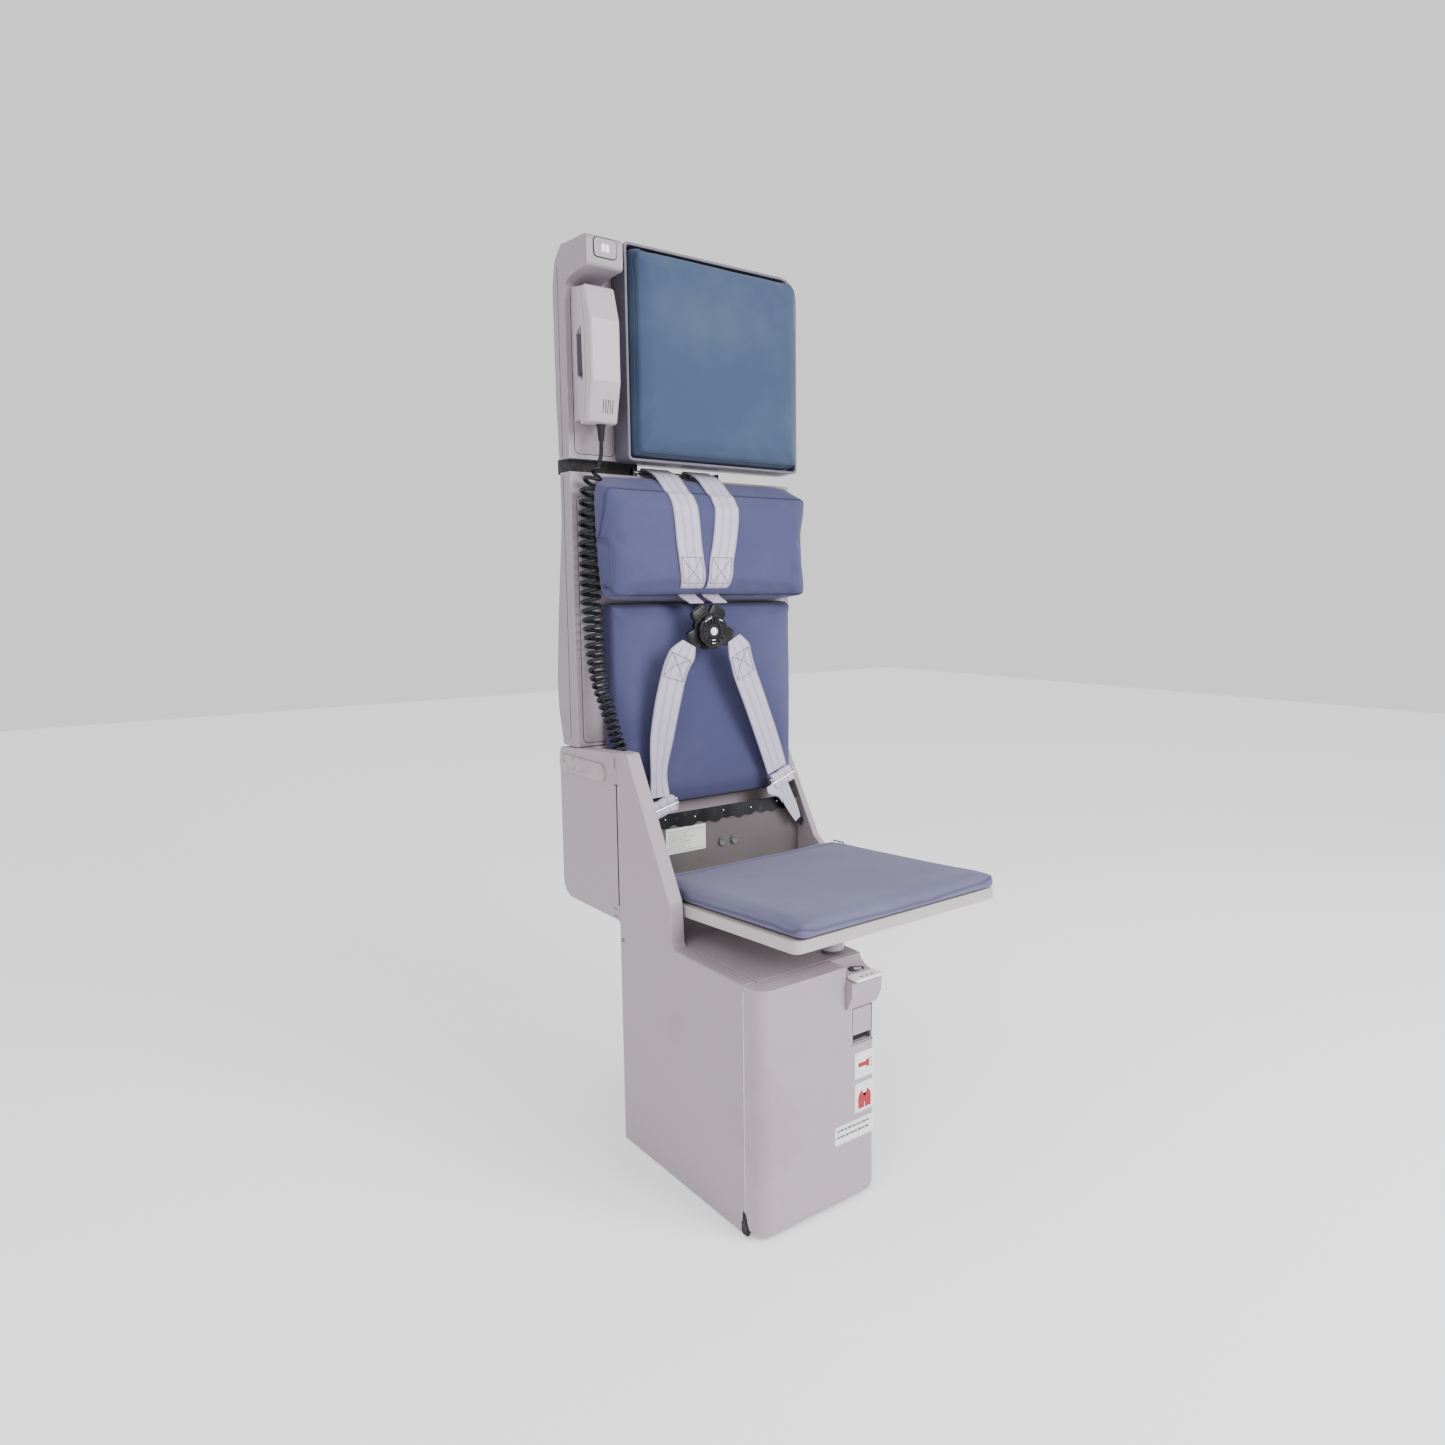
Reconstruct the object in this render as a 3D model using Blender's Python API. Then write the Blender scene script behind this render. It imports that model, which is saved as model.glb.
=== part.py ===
"""Folding cabin attendant seat with a stowage box, a four-point harness and an interphone handset.

Metres, +Z up. -Y is the front, the mounting wall is the plane y = +DEPTH / 2, and the origin is on
the floor under the middle of the seat.
"""

import math

import bmesh
import bpy
from mathutils import Matrix, Vector

# ---- Driving dimensions ---------------------------------------------------------------------------
WIDTH = 0.455  # over the shells and side walls
DEPTH = 0.632  # wall to the front of the seat cushion
GAP = 0.0003  # between pieces that touch

BOX_WIDTH = 0.213  # stowage box under the left half of the seat
BOX_DEPTH = 0.379
BOX_HEIGHT = 0.368
BOX_WALL = 0.004
HOUSING_DEPTH = 0.200  # wall to the back of the stowage box
SIDE_T = 0.025  # left side panel and side cover
RIGHT_WALL_T = 0.0135
SIDE_TOP = 0.650  # top of the left side panel
HOUSING_TOP = 0.640
SHELL_WALL = 0.005
SHELL_FACE = 0.071  # wall to the front face of the two back shells
MID_SHELL_TOP = 1.100
UPPER_SHELL_BOTTOM = 1.121
SEAT_TOP_HEIGHT = 1.457

DOOR_DEPTH = 0.0373
DOOR_WALL = 0.004
DOOR_SEAM_GAP = 0.0024
DOOR_LEFT_R = 0.024
DOOR_RIGHT_R = 0.010
DOOR_FOOT_R = 0.014
DOOR_FLOOR_GAP = 0.004
NOTCH_WIDTH = 0.058  # corner of the door taken by the torch scoop
NOTCH_HEIGHT = 0.030
PADDLE_WIDTH = 0.036
PADDLE_HEIGHT = 0.040
PADDLE_TOP = 0.300
PADDLE_RIGHT = 0.008  # box edge to the paddle
FINGER_SLOT = 0.012  # under the paddle
CUP_DEPTH = 0.014
CUP_WALL = 0.0015
CUP_BEHIND = 0.003  # door wall to the cup
WINDOW_CLEARANCE = 0.0005

HINGE_IN = 0.176  # wall to the seat pan's hinge axis
HINGE_Z = 0.405
SHAFT_R = 0.006
SHAFT_CLEARANCE = 0.00025
EYE_R = 0.0125
ARM_T = 0.010
ARM_LENGTH = 0.090
ARM_INSET = 0.030  # pan edge to the hinge arm
PAN_SLOPE = math.radians(3.36)
PAN_TOP_H = 0.0128  # pan top over the hinge axis, square to the pan
PAN_RIM = 0.018
PAN_SKIN = 0.003
PAN_CORNER_R = 0.012
PAN_BACK = 0.022  # hinge axis to the pan's back edge
PAN_LEFT_GAP = 0.004  # side panel to the pan
PAN_RIGHT_GAP = 0.0115  # right side wall to the pan
CUSHION_T = 0.024
CUSHION_BACK = 0.060
CUSHION_SIDE_IN = 0.003
CUSHION_OVERHANG = 0.010  # seat cushion past the front edge of the pan
BOSS_X = -0.0465
BOSS_FORWARD = 0.342
BOSS_TOP_R = 0.032
BOSS_FOOT_R = 0.017
PAD_T = 0.004

PLATE_IN = 0.114  # wall to the front of the plate under the backrest
PLATE_T = 0.004
PLATE_TOP = 0.503
SILL_Z = 0.386
BELLY_Z = 0.348

HEADREST_LEFT_IN = 0.084  # left edge of the seat to the headrest
HEADREST_RIGHT_IN = 0.015
HEADREST_UNDER = 0.002  # below the upper shell
HEADREST_OVER = 0.009  # above the upper shell
HEADREST_FRONT = 0.140  # wall to the face of the headrest cushion
HEADREST_PAD_T = 0.045
TRAY_WALL = 0.0045
TRAY_FRONT = 0.117  # wall to the front edge of the headrest tray

BOLSTER_LEFT_IN = 0.017
BOLSTER_RIGHT_IN = 0.012
BOLSTER_UNDER = 0.022  # top of the middle shell to the bolster
BOLSTER_BOTTOM = 0.889
BOLSTER_FRONT = 0.153
CORD_CHANNEL_IN = 0.113  # wall to where the bolster narrows to leave room for the cord
LOWER_LEFT_IN = 0.044
LOWER_RIGHT_IN = 0.014
LOWER_OVER_PLATE = 0.017
LOWER_FRONT = 0.110

BUCKLE_X = -0.0165
BUCKLE_Z = 0.8345
BUCKLE_BACK = 0.151  # wall to the back of the buckle
BUCKLE_R = 0.034
BUCKLE_BODY_T = 0.012
KNOB_R = 0.029
KNOB_T = 0.010
STRAP_T = 0.0022
STRAP_WIDTH = 0.050
TONGUE_T = 0.003

HANDSET_IN = 0.005  # left edge of the seat to the handset
HANDSET_WIDTH = 0.053
HANDSET_TOP = 1.384
HANDSET_BOTTOM = 1.172
CRADLE_IN = 0.0115  # left edge of the seat to the cradle
CRADLE_WIDTH = 0.044
CAP_R = 0.015  # earpiece and microphone
CAP_DEPTH = 0.0035
POD_WIDTH = 0.0625
POD_FRONT = 0.150  # wall to the front of the pod over the handset
POD_FOOT = 1.410
CORD_R = 0.003
COIL_R = 0.018  # outer radius of the curly cord
# Routes are (in from the left edge, out from the wall, height).
LEAD_ROUTE = [(0.0370, 0.1120, 1.1460), (0.0370, 0.1115, 1.1380), (0.0375, 0.1095, 1.1280),
              (0.0373, 0.1065, 1.1185), (0.0365, 0.1040, 1.1125)]
COIL_ROUTE = [(0.0360, 0.1025, 1.1090), (0.0230, 0.0950, 1.0700), (0.0197, 0.0935, 1.0040),
              (0.0190, 0.0935, 0.9550), (0.0190, 0.0935, 0.8900), (0.0235, 0.0965, 0.8065),
              (0.0255, 0.1065, 0.7570), (0.0280, 0.1195, 0.7220), (0.0370, 0.1360, 0.6600),
              (0.0430, 0.1400, 0.6400), (0.0450, 0.1405, 0.6160)]
COIL_SHARES = [0.75, 0.90, 1.0, 1.0, 1.0, 0.93, 0.86, 0.77, 0.68, 0.64, 0.60]  # of COIL_R along its route
GLAND_R = 0.0085
GLAND_FOOT = 0.578
GLAND_TOP = 0.615

REEL_LEFT = -0.105
REEL_RIGHT = 0.072
REEL_BOTTOM = 0.985
REEL_TOP = 1.114
REEL_RELIEF_Z = 1.040  # above this only the frame's front legs go on up
REEL_METAL_T = 0.003
SPOOL_R = 0.016
SPOOL_Z = 1.010
GUIDE_BAR_R = 0.004
GUIDE_BAR_Z = 1.1068

# ---- Places worked out from them --------------------------------------------------------------------
LEFT, RIGHT = -WIDTH / 2, WIDTH / 2
WALL, FRONT = DEPTH / 2, -DEPTH / 2
BOX_REAR = WALL - HOUSING_DEPTH
BOX_FRONT = BOX_REAR - BOX_DEPTH
BOX_RIGHT = LEFT + BOX_WIDTH
DOOR_SEAM = BOX_FRONT + DOOR_DEPTH
SIDE_IN_LEFT = LEFT + SIDE_T
SIDE_IN_RIGHT = RIGHT - RIGHT_WALL_T
SHELL_Y = WALL - SHELL_FACE
HINGE_Y = WALL - HINGE_IN
PAN_LEFT = SIDE_IN_LEFT + PAN_LEFT_GAP
PAN_RIGHT = SIDE_IN_RIGHT - PAN_RIGHT_GAP
PAN_UNDER_H = PAN_TOP_H - PAN_RIM
CUSHION_REACH = (HINGE_Y - FRONT + PAN_TOP_H * math.sin(PAN_SLOPE)) / math.cos(PAN_SLOPE)
PAN_REACH = CUSHION_REACH - CUSHION_OVERHANG
NOTCH_LEFT = BOX_RIGHT - NOTCH_WIDTH
NOTCH_Z = BOX_HEIGHT - NOTCH_HEIGHT
PADDLE_LEFT = BOX_RIGHT - PADDLE_RIGHT - PADDLE_WIDTH
WINDOW_FOOT = PADDLE_TOP - PADDLE_HEIGHT - FINGER_SLOT
BUCKLE_Y = WALL - BUCKLE_BACK
HEADREST_LEFT, HEADREST_RIGHT = LEFT + HEADREST_LEFT_IN, RIGHT - HEADREST_RIGHT_IN
HEADREST_BOTTOM = UPPER_SHELL_BOTTOM - HEADREST_UNDER
HEADREST_TOP = SEAT_TOP_HEIGHT + HEADREST_OVER
BOLSTER_LEFT, BOLSTER_RIGHT = LEFT + BOLSTER_LEFT_IN, RIGHT - BOLSTER_RIGHT_IN
BOLSTER_TOP = MID_SHELL_TOP - BOLSTER_UNDER
LOWER_LEFT, LOWER_RIGHT = LEFT + LOWER_LEFT_IN, RIGHT - LOWER_RIGHT_IN
LOWER_BOTTOM = PLATE_TOP + LOWER_OVER_PLATE
HANDSET_LEFT = LEFT + HANDSET_IN
HANDSET_RIGHT = HANDSET_LEFT + HANDSET_WIDTH
CRADLE_LEFT = LEFT + CRADLE_IN


# ---- Materials --------------------------------------------------------------------------------------
def material(name, colour, roughness, metallic=0.0):
    mat = bpy.data.materials.new(name)
    mat.diffuse_color = (*colour, 1.0)
    mat.use_nodes = True
    shader = mat.node_tree.nodes["Principled BSDF"]
    shader.inputs["Base Color"].default_value = (*colour, 1.0)
    shader.inputs["Roughness"].default_value = roughness
    shader.inputs["Metallic"].default_value = metallic
    return mat


for old in list(bpy.data.objects):
    bpy.data.objects.remove(old)

SHELL_PLASTIC = material("shell_plastic", (0.56, 0.51, 0.52), 0.55)
HANDSET_PLASTIC = material("handset_plastic", (0.63, 0.59, 0.61), 0.45)
DARK_PLASTIC = material("dark_plastic", (0.03, 0.03, 0.03), 0.4)
WHITE_PLASTIC = material("white_plastic", (0.83, 0.83, 0.80), 0.4)
HEADREST_FABRIC = material("headrest_fabric", (0.13, 0.20, 0.30), 0.9)
SEAT_FABRIC = material("seat_fabric", (0.17, 0.18, 0.34), 0.9)
WEBBING = material("webbing", (0.62, 0.59, 0.70), 0.7)
BLACK_METAL = material("black_metal", (0.02, 0.02, 0.02), 0.35, 0.6)
STEEL = material("steel", (0.55, 0.55, 0.56), 0.3, 1.0)
CORD_RUBBER = material("cord_rubber", (0.015, 0.015, 0.018), 0.45)
RED_FABRIC = material("vest_fabric", (0.55, 0.05, 0.03), 0.8)


# ---- Modelling helpers --------------------------------------------------------------------------------
def outline(*corners, steps=4):
    """Corner points (u, v) or (u, v, radius), the rounded ones turned into arcs."""
    points = []
    count = len(corners)
    for i, corner in enumerate(corners):
        here = Vector(corner[:2])
        radius = corner[2] if len(corner) > 2 else 0
        if not radius:
            points.append(here)
            continue
        back = (Vector(corners[i - 1][:2]) - here).normalized()
        ahead = (Vector(corners[(i + 1) % count][:2]) - here).normalized()
        half = back.angle(ahead) / 2
        centre = here + (back + ahead).normalized() * (radius / math.sin(half))
        start = here + back * (radius / math.tan(half)) - centre
        turn = start.angle_signed(here + ahead * (radius / math.tan(half)) - centre)
        for k in range(steps + 1):
            points.append(centre + Matrix.Rotation(-turn * k / steps, 2) @ start)
    return points


def add(name, bm, mat, parent=None, smooth=False):
    bmesh.ops.recalc_face_normals(bm, faces=bm.faces)
    mesh = bpy.data.meshes.new(name)
    bm.to_mesh(mesh)
    bm.free()
    mesh.materials.append(mat)
    if smooth:
        mesh.shade_smooth()
        mesh.set_sharp_from_angle(angle=math.radians(35))
    obj = bpy.data.objects.new(name, mesh)
    bpy.context.scene.collection.objects.link(obj)
    obj.parent = parent
    return obj


def prism(name, points, axis, low, high, mat, parent=None):
    """An outline in the plane square to axis (y,z for X; x,z for Y; x,y for Z), drawn out from low to high."""
    bm = bmesh.new()
    place = {"X": lambda u, v, w: (w, u, v), "Y": lambda u, v, w: (u, w, v), "Z": lambda u, v, w: (u, v, w)}[axis]
    ends = [[bm.verts.new(place(p[0], p[1], w)) for p in points] for w in (low, high)]
    bm.faces.new(ends[0])
    bm.faces.new(ends[1])
    for i in range(len(points)):
        j = (i + 1) % len(points)
        bm.faces.new((ends[0][i], ends[0][j], ends[1][j], ends[1][i]))
    return add(name, bm, mat, parent)


def block(name, low, high, mat, parent=None):
    (x0, y0, z0), (x1, y1, z1) = low, high
    return prism(name, outline((x0, y0), (x1, y0), (x1, y1), (x0, y1)), "Z", z0, z1, mat, parent)


def turned(name, profile, centre, axis, mat, parent=None, steps=24):
    """A closed profile of (radius, along) points turned about an axis through centre."""
    bm = bmesh.new()
    along = {"X": Vector((1, 0, 0)), "Y": Vector((0, 1, 0)), "Z": Vector((0, 0, 1))}[axis]
    side = {"X": Vector((0, 1, 0)), "Y": Vector((0, 0, 1)), "Z": Vector((1, 0, 0))}[axis]
    rings = []
    for radius, w in profile:
        if radius == 0:
            rings.append([bm.verts.new(Vector(centre) + along * w)])
            continue
        rings.append([bm.verts.new(Vector(centre) + along * w + Matrix.Rotation(math.tau * k / steps, 3, along)
                                   @ side * radius) for k in range(steps)])
    closed = profile[0][0] != 0
    for i in range(len(rings) if closed else len(rings) - 1):
        a, b = rings[i], rings[(i + 1) % len(rings)]
        for k in range(steps):
            n = (k + 1) % steps
            if len(a) == 1:
                bm.faces.new((a[0], b[k], b[n]))
            elif len(b) == 1:
                bm.faces.new((a[k], a[n], b[0]))
            else:
                bm.faces.new((a[k], a[n], b[n], b[k]))
    return add(name, bm, mat, parent, smooth=True)


def disc(name, radius, low, high, centre, axis, mat, parent=None, steps=24):
    """A solid cylinder about the axis through centre, from low to high along it."""
    return turned(name, [(0, low), (radius, low), (radius, high), (0, high)], centre, axis, mat, parent, steps)


def soften(obj, width, segments=2, angle=40):
    bevel = obj.modifiers.new("bevel", "BEVEL")
    bevel.width = width
    bevel.segments = segments
    bevel.limit_method = "ANGLE"
    bevel.angle_limit = math.radians(angle)
    return obj


def combine(obj, other, operation):
    other.hide_render = True
    other.display_type = "WIRE"
    step = obj.modifiers.new(operation.lower(), "BOOLEAN")
    step.operation = operation
    step.solver = "EXACT"
    step.object = other
    return obj


def cut(obj, cutter):
    return combine(obj, cutter, "DIFFERENCE")


def pivot(name, place, tilt=0.0):
    empty = bpy.data.objects.new(name, None)
    bpy.context.scene.collection.objects.link(empty)
    empty.location = place
    empty.rotation_euler = (tilt, 0, 0)
    return empty


def hang(empty, *objects):
    """Parents pieces drawn in place to an unturned empty on their joint's axis."""
    for obj in objects:
        obj.data.transform(Matrix.Translation(-empty.location))
        obj.parent = empty


def ribbon(name, route, mat, thickness=STRAP_T):
    """A flat strap along route, a list of (centre point, half width vector)."""
    bm = bmesh.new()
    centres = [Vector(p) for p, _ in route]
    rings = []
    for i, (centre, half) in enumerate(route):
        ahead = centres[min(i + 1, len(route) - 1)] - centres[max(i - 1, 0)]
        half = Vector(half)
        out = ahead.cross(half).normalized() * thickness / 2
        c = centres[i]
        rings.append([bm.verts.new(c + half + out), bm.verts.new(c - half + out),
                      bm.verts.new(c - half - out), bm.verts.new(c + half - out)])
    for a, b in zip(rings, rings[1:]):
        for k in range(4):
            n = (k + 1) % 4
            bm.faces.new((a[k], a[n], b[n], b[k]))
    bm.faces.new(rings[0])
    bm.faces.new(rings[-1])
    return add(name, bm, mat)


def smooth_route(points, per_span):
    """Points on a smooth curve through the given ones."""
    ends = [2 * points[0] - points[1], *points, 2 * points[-1] - points[-2]]
    found = []
    for a, b, c, d in zip(ends, ends[1:], ends[2:], ends[3:]):
        for k in range(per_span):
            t = k / per_span
            found.append(0.5 * (2 * b + (c - a) * t + (2 * a - 5 * b + 4 * c - d) * t * t
                                + (3 * b - a - 3 * c + d) * t ** 3))
    return [*found, points[-1]]


def tube(name, points, radii, mat):
    data = bpy.data.curves.new(name, "CURVE")
    data.dimensions = "3D"
    data.bevel_depth = 1.0
    data.bevel_resolution = 2
    data.use_fill_caps = True
    spline = data.splines.new("POLY")
    spline.points.add(len(points) - 1)
    for point, place, radius in zip(spline.points, points, radii):
        point.co = (*place, 1)
        point.radius = radius
    data.materials.append(mat)
    obj = bpy.data.objects.new(name, data)
    bpy.context.scene.collection.objects.link(obj)
    return obj


# ---- Stowage box ----------------------------------------------------------------------------------------
def stowage_box():
    shell = block("base_box_shell", (SIDE_IN_LEFT + GAP, DOOR_SEAM + GAP, 0),
                  (BOX_RIGHT, BOX_REAR, BOX_HEIGHT), SHELL_PLASTIC)
    cut(shell, block("box_cavity", (SIDE_IN_LEFT + GAP + BOX_WALL, DOOR_SEAM - 0.01, BOX_WALL),
                     (BOX_RIGHT - BOX_WALL, BOX_REAR - BOX_WALL, BOX_HEIGHT - BOX_WALL), SHELL_PLASTIC))
    side_front = BOX_REAR - 0.0335
    panel = prism("left_side_panel", outline(
        (BOX_REAR, 0), (BOX_REAR, SIDE_TOP), (side_front, SIDE_TOP + 0.001, 0.006),
        (BOX_REAR - 0.154, 0.436, 0.030), (BOX_REAR - 0.158, BOX_HEIGHT, 0.010),
        (DOOR_SEAM + DOOR_SEAM_GAP, BOX_HEIGHT), (DOOR_SEAM + DOOR_SEAM_GAP, 0)),
        "X", LEFT, SIDE_IN_LEFT, SHELL_PLASTIC)
    soften(panel, 0.0025)
    inner_left, inner_right = SIDE_IN_LEFT + GAP + BOX_WALL + GAP, BOX_RIGHT - BOX_WALL - GAP
    inner_rear, shelf_front = BOX_REAR - BOX_WALL - GAP, DOOR_SEAM + 0.012
    shelf_z = 0.235
    block("stowage_shelf", (inner_left, shelf_front, shelf_z), (inner_right, inner_rear, shelf_z + 0.003),
          SHELL_PLASTIC)
    pouch = block("life_vest_pouch", (inner_left + 0.010, shelf_front + 0.010, BOX_WALL + GAP),
                  (inner_right - 0.010, inner_rear - 0.050, 0.115), RED_FABRIC)
    soften(pouch, 0.018, 3)
    middle = ((inner_left + inner_right) / 2, 0, shelf_z + 0.003 + GAP + 0.021)
    turned("torch_body", [(0, shelf_front + 0.006), (0.019, shelf_front + 0.006), (0.021, shelf_front + 0.010),
                          (0.021, shelf_front + 0.045), (0.0165, shelf_front + 0.060), (0.0165, 0.030),
                          (0, 0.030)], middle, "Y", DARK_PLASTIC, steps=20)
    pad_y = HINGE_Y - BOSS_FORWARD * math.cos(PAN_SLOPE)
    disc("pan_stop_pad", BOSS_FOOT_R - 0.002, BOX_HEIGHT + GAP, BOX_HEIGHT + PAD_T, (BOSS_X, pad_y, 0), "Z",
         DARK_PLASTIC, steps=16)


def door():
    axis = pivot("front_door_hinge", (LEFT + 0.0008, DOOR_SEAM + DOOR_SEAM_GAP / 2, 0))
    top = BOX_HEIGHT - 0.001
    plan = outline((LEFT, DOOR_SEAM), (LEFT, BOX_FRONT, DOOR_LEFT_R),
                   (BOX_RIGHT, BOX_FRONT, DOOR_RIGHT_R), (BOX_RIGHT, DOOR_SEAM))
    bm_door = prism("front_door", plan, "Z", DOOR_FLOOR_GAP, top, SHELL_PLASTIC)
    bm = bmesh.new()
    bm.from_mesh(bm_door.data)
    foot = [e for e in bm.edges if all(abs(v.co.z - DOOR_FLOOR_GAP) < 1e-5 for v in e.verts)
            and min(v.co.y for v in e.verts) < DOOR_SEAM - 1e-4]
    bmesh.ops.bevel(bm, geom=foot, offset=DOOR_FOOT_R, segments=3, profile=0.5, affect="EDGES")
    bm.to_mesh(bm_door.data)
    bm.free()
    inner = outline((LEFT + DOOR_WALL, DOOR_SEAM + 0.01),
                    (LEFT + DOOR_WALL, BOX_FRONT + DOOR_WALL, DOOR_LEFT_R - DOOR_WALL),
                    (BOX_RIGHT - DOOR_WALL, BOX_FRONT + DOOR_WALL, DOOR_RIGHT_R - DOOR_WALL),
                    (BOX_RIGHT - DOOR_WALL, DOOR_SEAM + 0.01))
    cavities = [
        prism("door_cavity", inner, "Z", DOOR_FLOOR_GAP + DOOR_FOOT_R, top - DOOR_WALL, SHELL_PLASTIC),
        block("door_notch", (NOTCH_LEFT, BOX_FRONT - 0.02, NOTCH_Z), (BOX_RIGHT + 0.02, DOOR_SEAM + 0.02, top + 0.02),
              SHELL_PLASTIC),
        block("paddle_window", (PADDLE_LEFT - WINDOW_CLEARANCE, BOX_FRONT - 0.02, WINDOW_FOOT),
              (PADDLE_LEFT + PADDLE_WIDTH + WINDOW_CLEARANCE, BOX_FRONT + 2 * DOOR_WALL,
               PADDLE_TOP + WINDOW_CLEARANCE), SHELL_PLASTIC),
    ]
    for cavity in cavities:
        cut(bm_door, cavity)
    hang(axis, bm_door)
    disc("door_hinge_pin", 0.0008, 0.010, 0.360, axis.location, "Z", STEEL, steps=8)
    return axis


def door_fittings(axis):
    rim = WINDOW_CLEARANCE + CUP_WALL
    low_x, high_x = PADDLE_LEFT - rim, PADDLE_LEFT + PADDLE_WIDTH + rim
    low_z, high_z = WINDOW_FOOT - rim, PADDLE_TOP + rim
    back = BOX_FRONT + DOOR_WALL + CUP_BEHIND
    cup = block("latch_cup", (low_x, back, low_z), (high_x, back + CUP_DEPTH, high_z), SHELL_PLASTIC)
    cut(cup, block("cup_hollow", (low_x + CUP_WALL, back - 0.01, low_z + CUP_WALL),
                   (high_x - CUP_WALL, back + CUP_DEPTH - CUP_WALL, high_z - CUP_WALL), SHELL_PLASTIC))
    paddle_axis = pivot("latch_paddle_hinge", (0, BOX_FRONT + 0.003, PADDLE_TOP - 0.003))
    paddle = prism("latch_paddle", outline(
        (BOX_FRONT, PADDLE_TOP, 0.0025), (BOX_FRONT + 0.006, PADDLE_TOP, 0.0025),
        (BOX_FRONT + 0.006, PADDLE_TOP - 0.008), (BOX_FRONT + 0.003, PADDLE_TOP - 0.010),
        (BOX_FRONT + 0.003, PADDLE_TOP - PADDLE_HEIGHT), (BOX_FRONT, PADDLE_TOP - PADDLE_HEIGHT)),
        "X", PADDLE_LEFT, PADDLE_LEFT + PADDLE_WIDTH, SHELL_PLASTIC)
    scoop = [(DOOR_SEAM - GAP, BOX_HEIGHT - 0.001)]
    rise, run = 0.019, DOOR_SEAM - BOX_FRONT - 0.002
    for k in range(7):
        turn = math.pi / 2 * k / 6
        scoop.append((DOOR_SEAM - 0.004 - run * (1 - math.cos(turn)), BOX_HEIGHT - 0.001 - rise * math.sin(turn)))
    scoop += [(BOX_FRONT - 0.013, BOX_HEIGHT - 0.0215), (BOX_FRONT - 0.0145, BOX_HEIGHT - 0.024),
              (BOX_FRONT - 0.013, BOX_HEIGHT - 0.045), (BOX_FRONT - 0.003, PADDLE_TOP + 0.004),
              (BOX_FRONT - GAP, PADDLE_TOP + 0.003), (BOX_FRONT - GAP, NOTCH_Z + GAP),
              (DOOR_SEAM - GAP, NOTCH_Z + GAP)]
    housing = prism("torch_scoop", scoop, "X", NOTCH_LEFT + GAP, BOX_RIGHT, SHELL_PLASTIC)
    tab = block("torch_tab", (NOTCH_LEFT + 0.004, BOX_FRONT - 0.021, BOX_HEIGHT - 0.0195),
                (BOX_RIGHT - 0.004, BOX_FRONT + 0.002, BOX_HEIGHT - 0.015), WHITE_PLASTIC)
    soften(tab, 0.0012)
    hang(axis, cup, housing, tab)
    paddle_axis.location = paddle_axis.location - axis.location
    paddle.data.transform(Matrix.Translation(-(paddle_axis.location + axis.location)))
    paddle.parent = paddle_axis
    paddle_axis.parent = axis


# ---- Lower housing behind the seat pan --------------------------------------------------------------------
def lower_housing():
    left, right = SIDE_IN_LEFT + GAP, SIDE_IN_RIGHT - GAP
    front, sill_front = SHELL_Y, BOX_REAR + 0.001
    wall = SHELL_WALL
    housing = prism("rear_housing", [
        (WALL, HOUSING_TOP), (WALL, 0.386), (WALL - 0.027, 0.3713), (sill_front, BELLY_Z), (sill_front, SILL_Z),
        (front, SILL_Z), (front, HOUSING_TOP)], "X", left, right, SHELL_PLASTIC)
    cut(housing, prism("housing_cavity", [
        (WALL + 0.02, HOUSING_TOP - wall), (front + wall, HOUSING_TOP - wall), (front + wall, SILL_Z - wall),
        (sill_front + wall, SILL_Z - wall), (sill_front + wall, BELLY_Z + wall + 0.001),
        (WALL - 0.029, 0.3713 + wall), (WALL + 0.02, 0.395)], "X", left + wall, right - wall, SHELL_PLASTIC))
    cover = prism("rear_side_cover", outline(
        (WALL, 0.636, 0.010), (WALL, 0.371, 0.030), (BOX_REAR + GAP, 0.371), (BOX_REAR + GAP, 0.648)),
        "X", LEFT, SIDE_IN_LEFT, SHELL_PLASTIC)
    soften(cover, 0.0025)
    wall_right = prism("right_side_wall", outline(
        (WALL, HOUSING_TOP), (WALL, 0.386, 0.010), (WALL - 0.027, 0.3713), (sill_front, BELLY_Z),
        (sill_front, 0.412, 0.006), (HINGE_Y + 0.013, 0.437, 0.020), (SHELL_Y + 0.028, HOUSING_TOP, 0.006)),
        "X", SIDE_IN_RIGHT, RIGHT, SHELL_PLASTIC)
    soften(wall_right, 0.0025)
    plate_back = WALL - PLATE_IN + PLATE_T
    block("backrest_lower_plate", (left, WALL - PLATE_IN, SILL_Z + GAP), (right, plate_back, PLATE_TOP), SHELL_PLASTIC)
    block("backrest_lower_rail", (left, plate_back + GAP, PLATE_TOP - 0.012),
          (right, SHELL_Y - GAP, PLATE_TOP - 0.002), BLACK_METAL)
    for name, low, high in (("wall_bracket_lower", 0.450, 0.560), ("wall_bracket_upper", 1.220, 1.330)):
        thick = 0.004
        reach = SHELL_Y + SHELL_WALL + GAP
        prism(name, [(WALL, low), (WALL, high), (reach, high), (reach, high - thick),
                     (WALL - thick, high - thick), (WALL - thick, low + thick), (reach, low + thick), (reach, low)],
              "X", -0.140, 0.140, STEEL)


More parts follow.
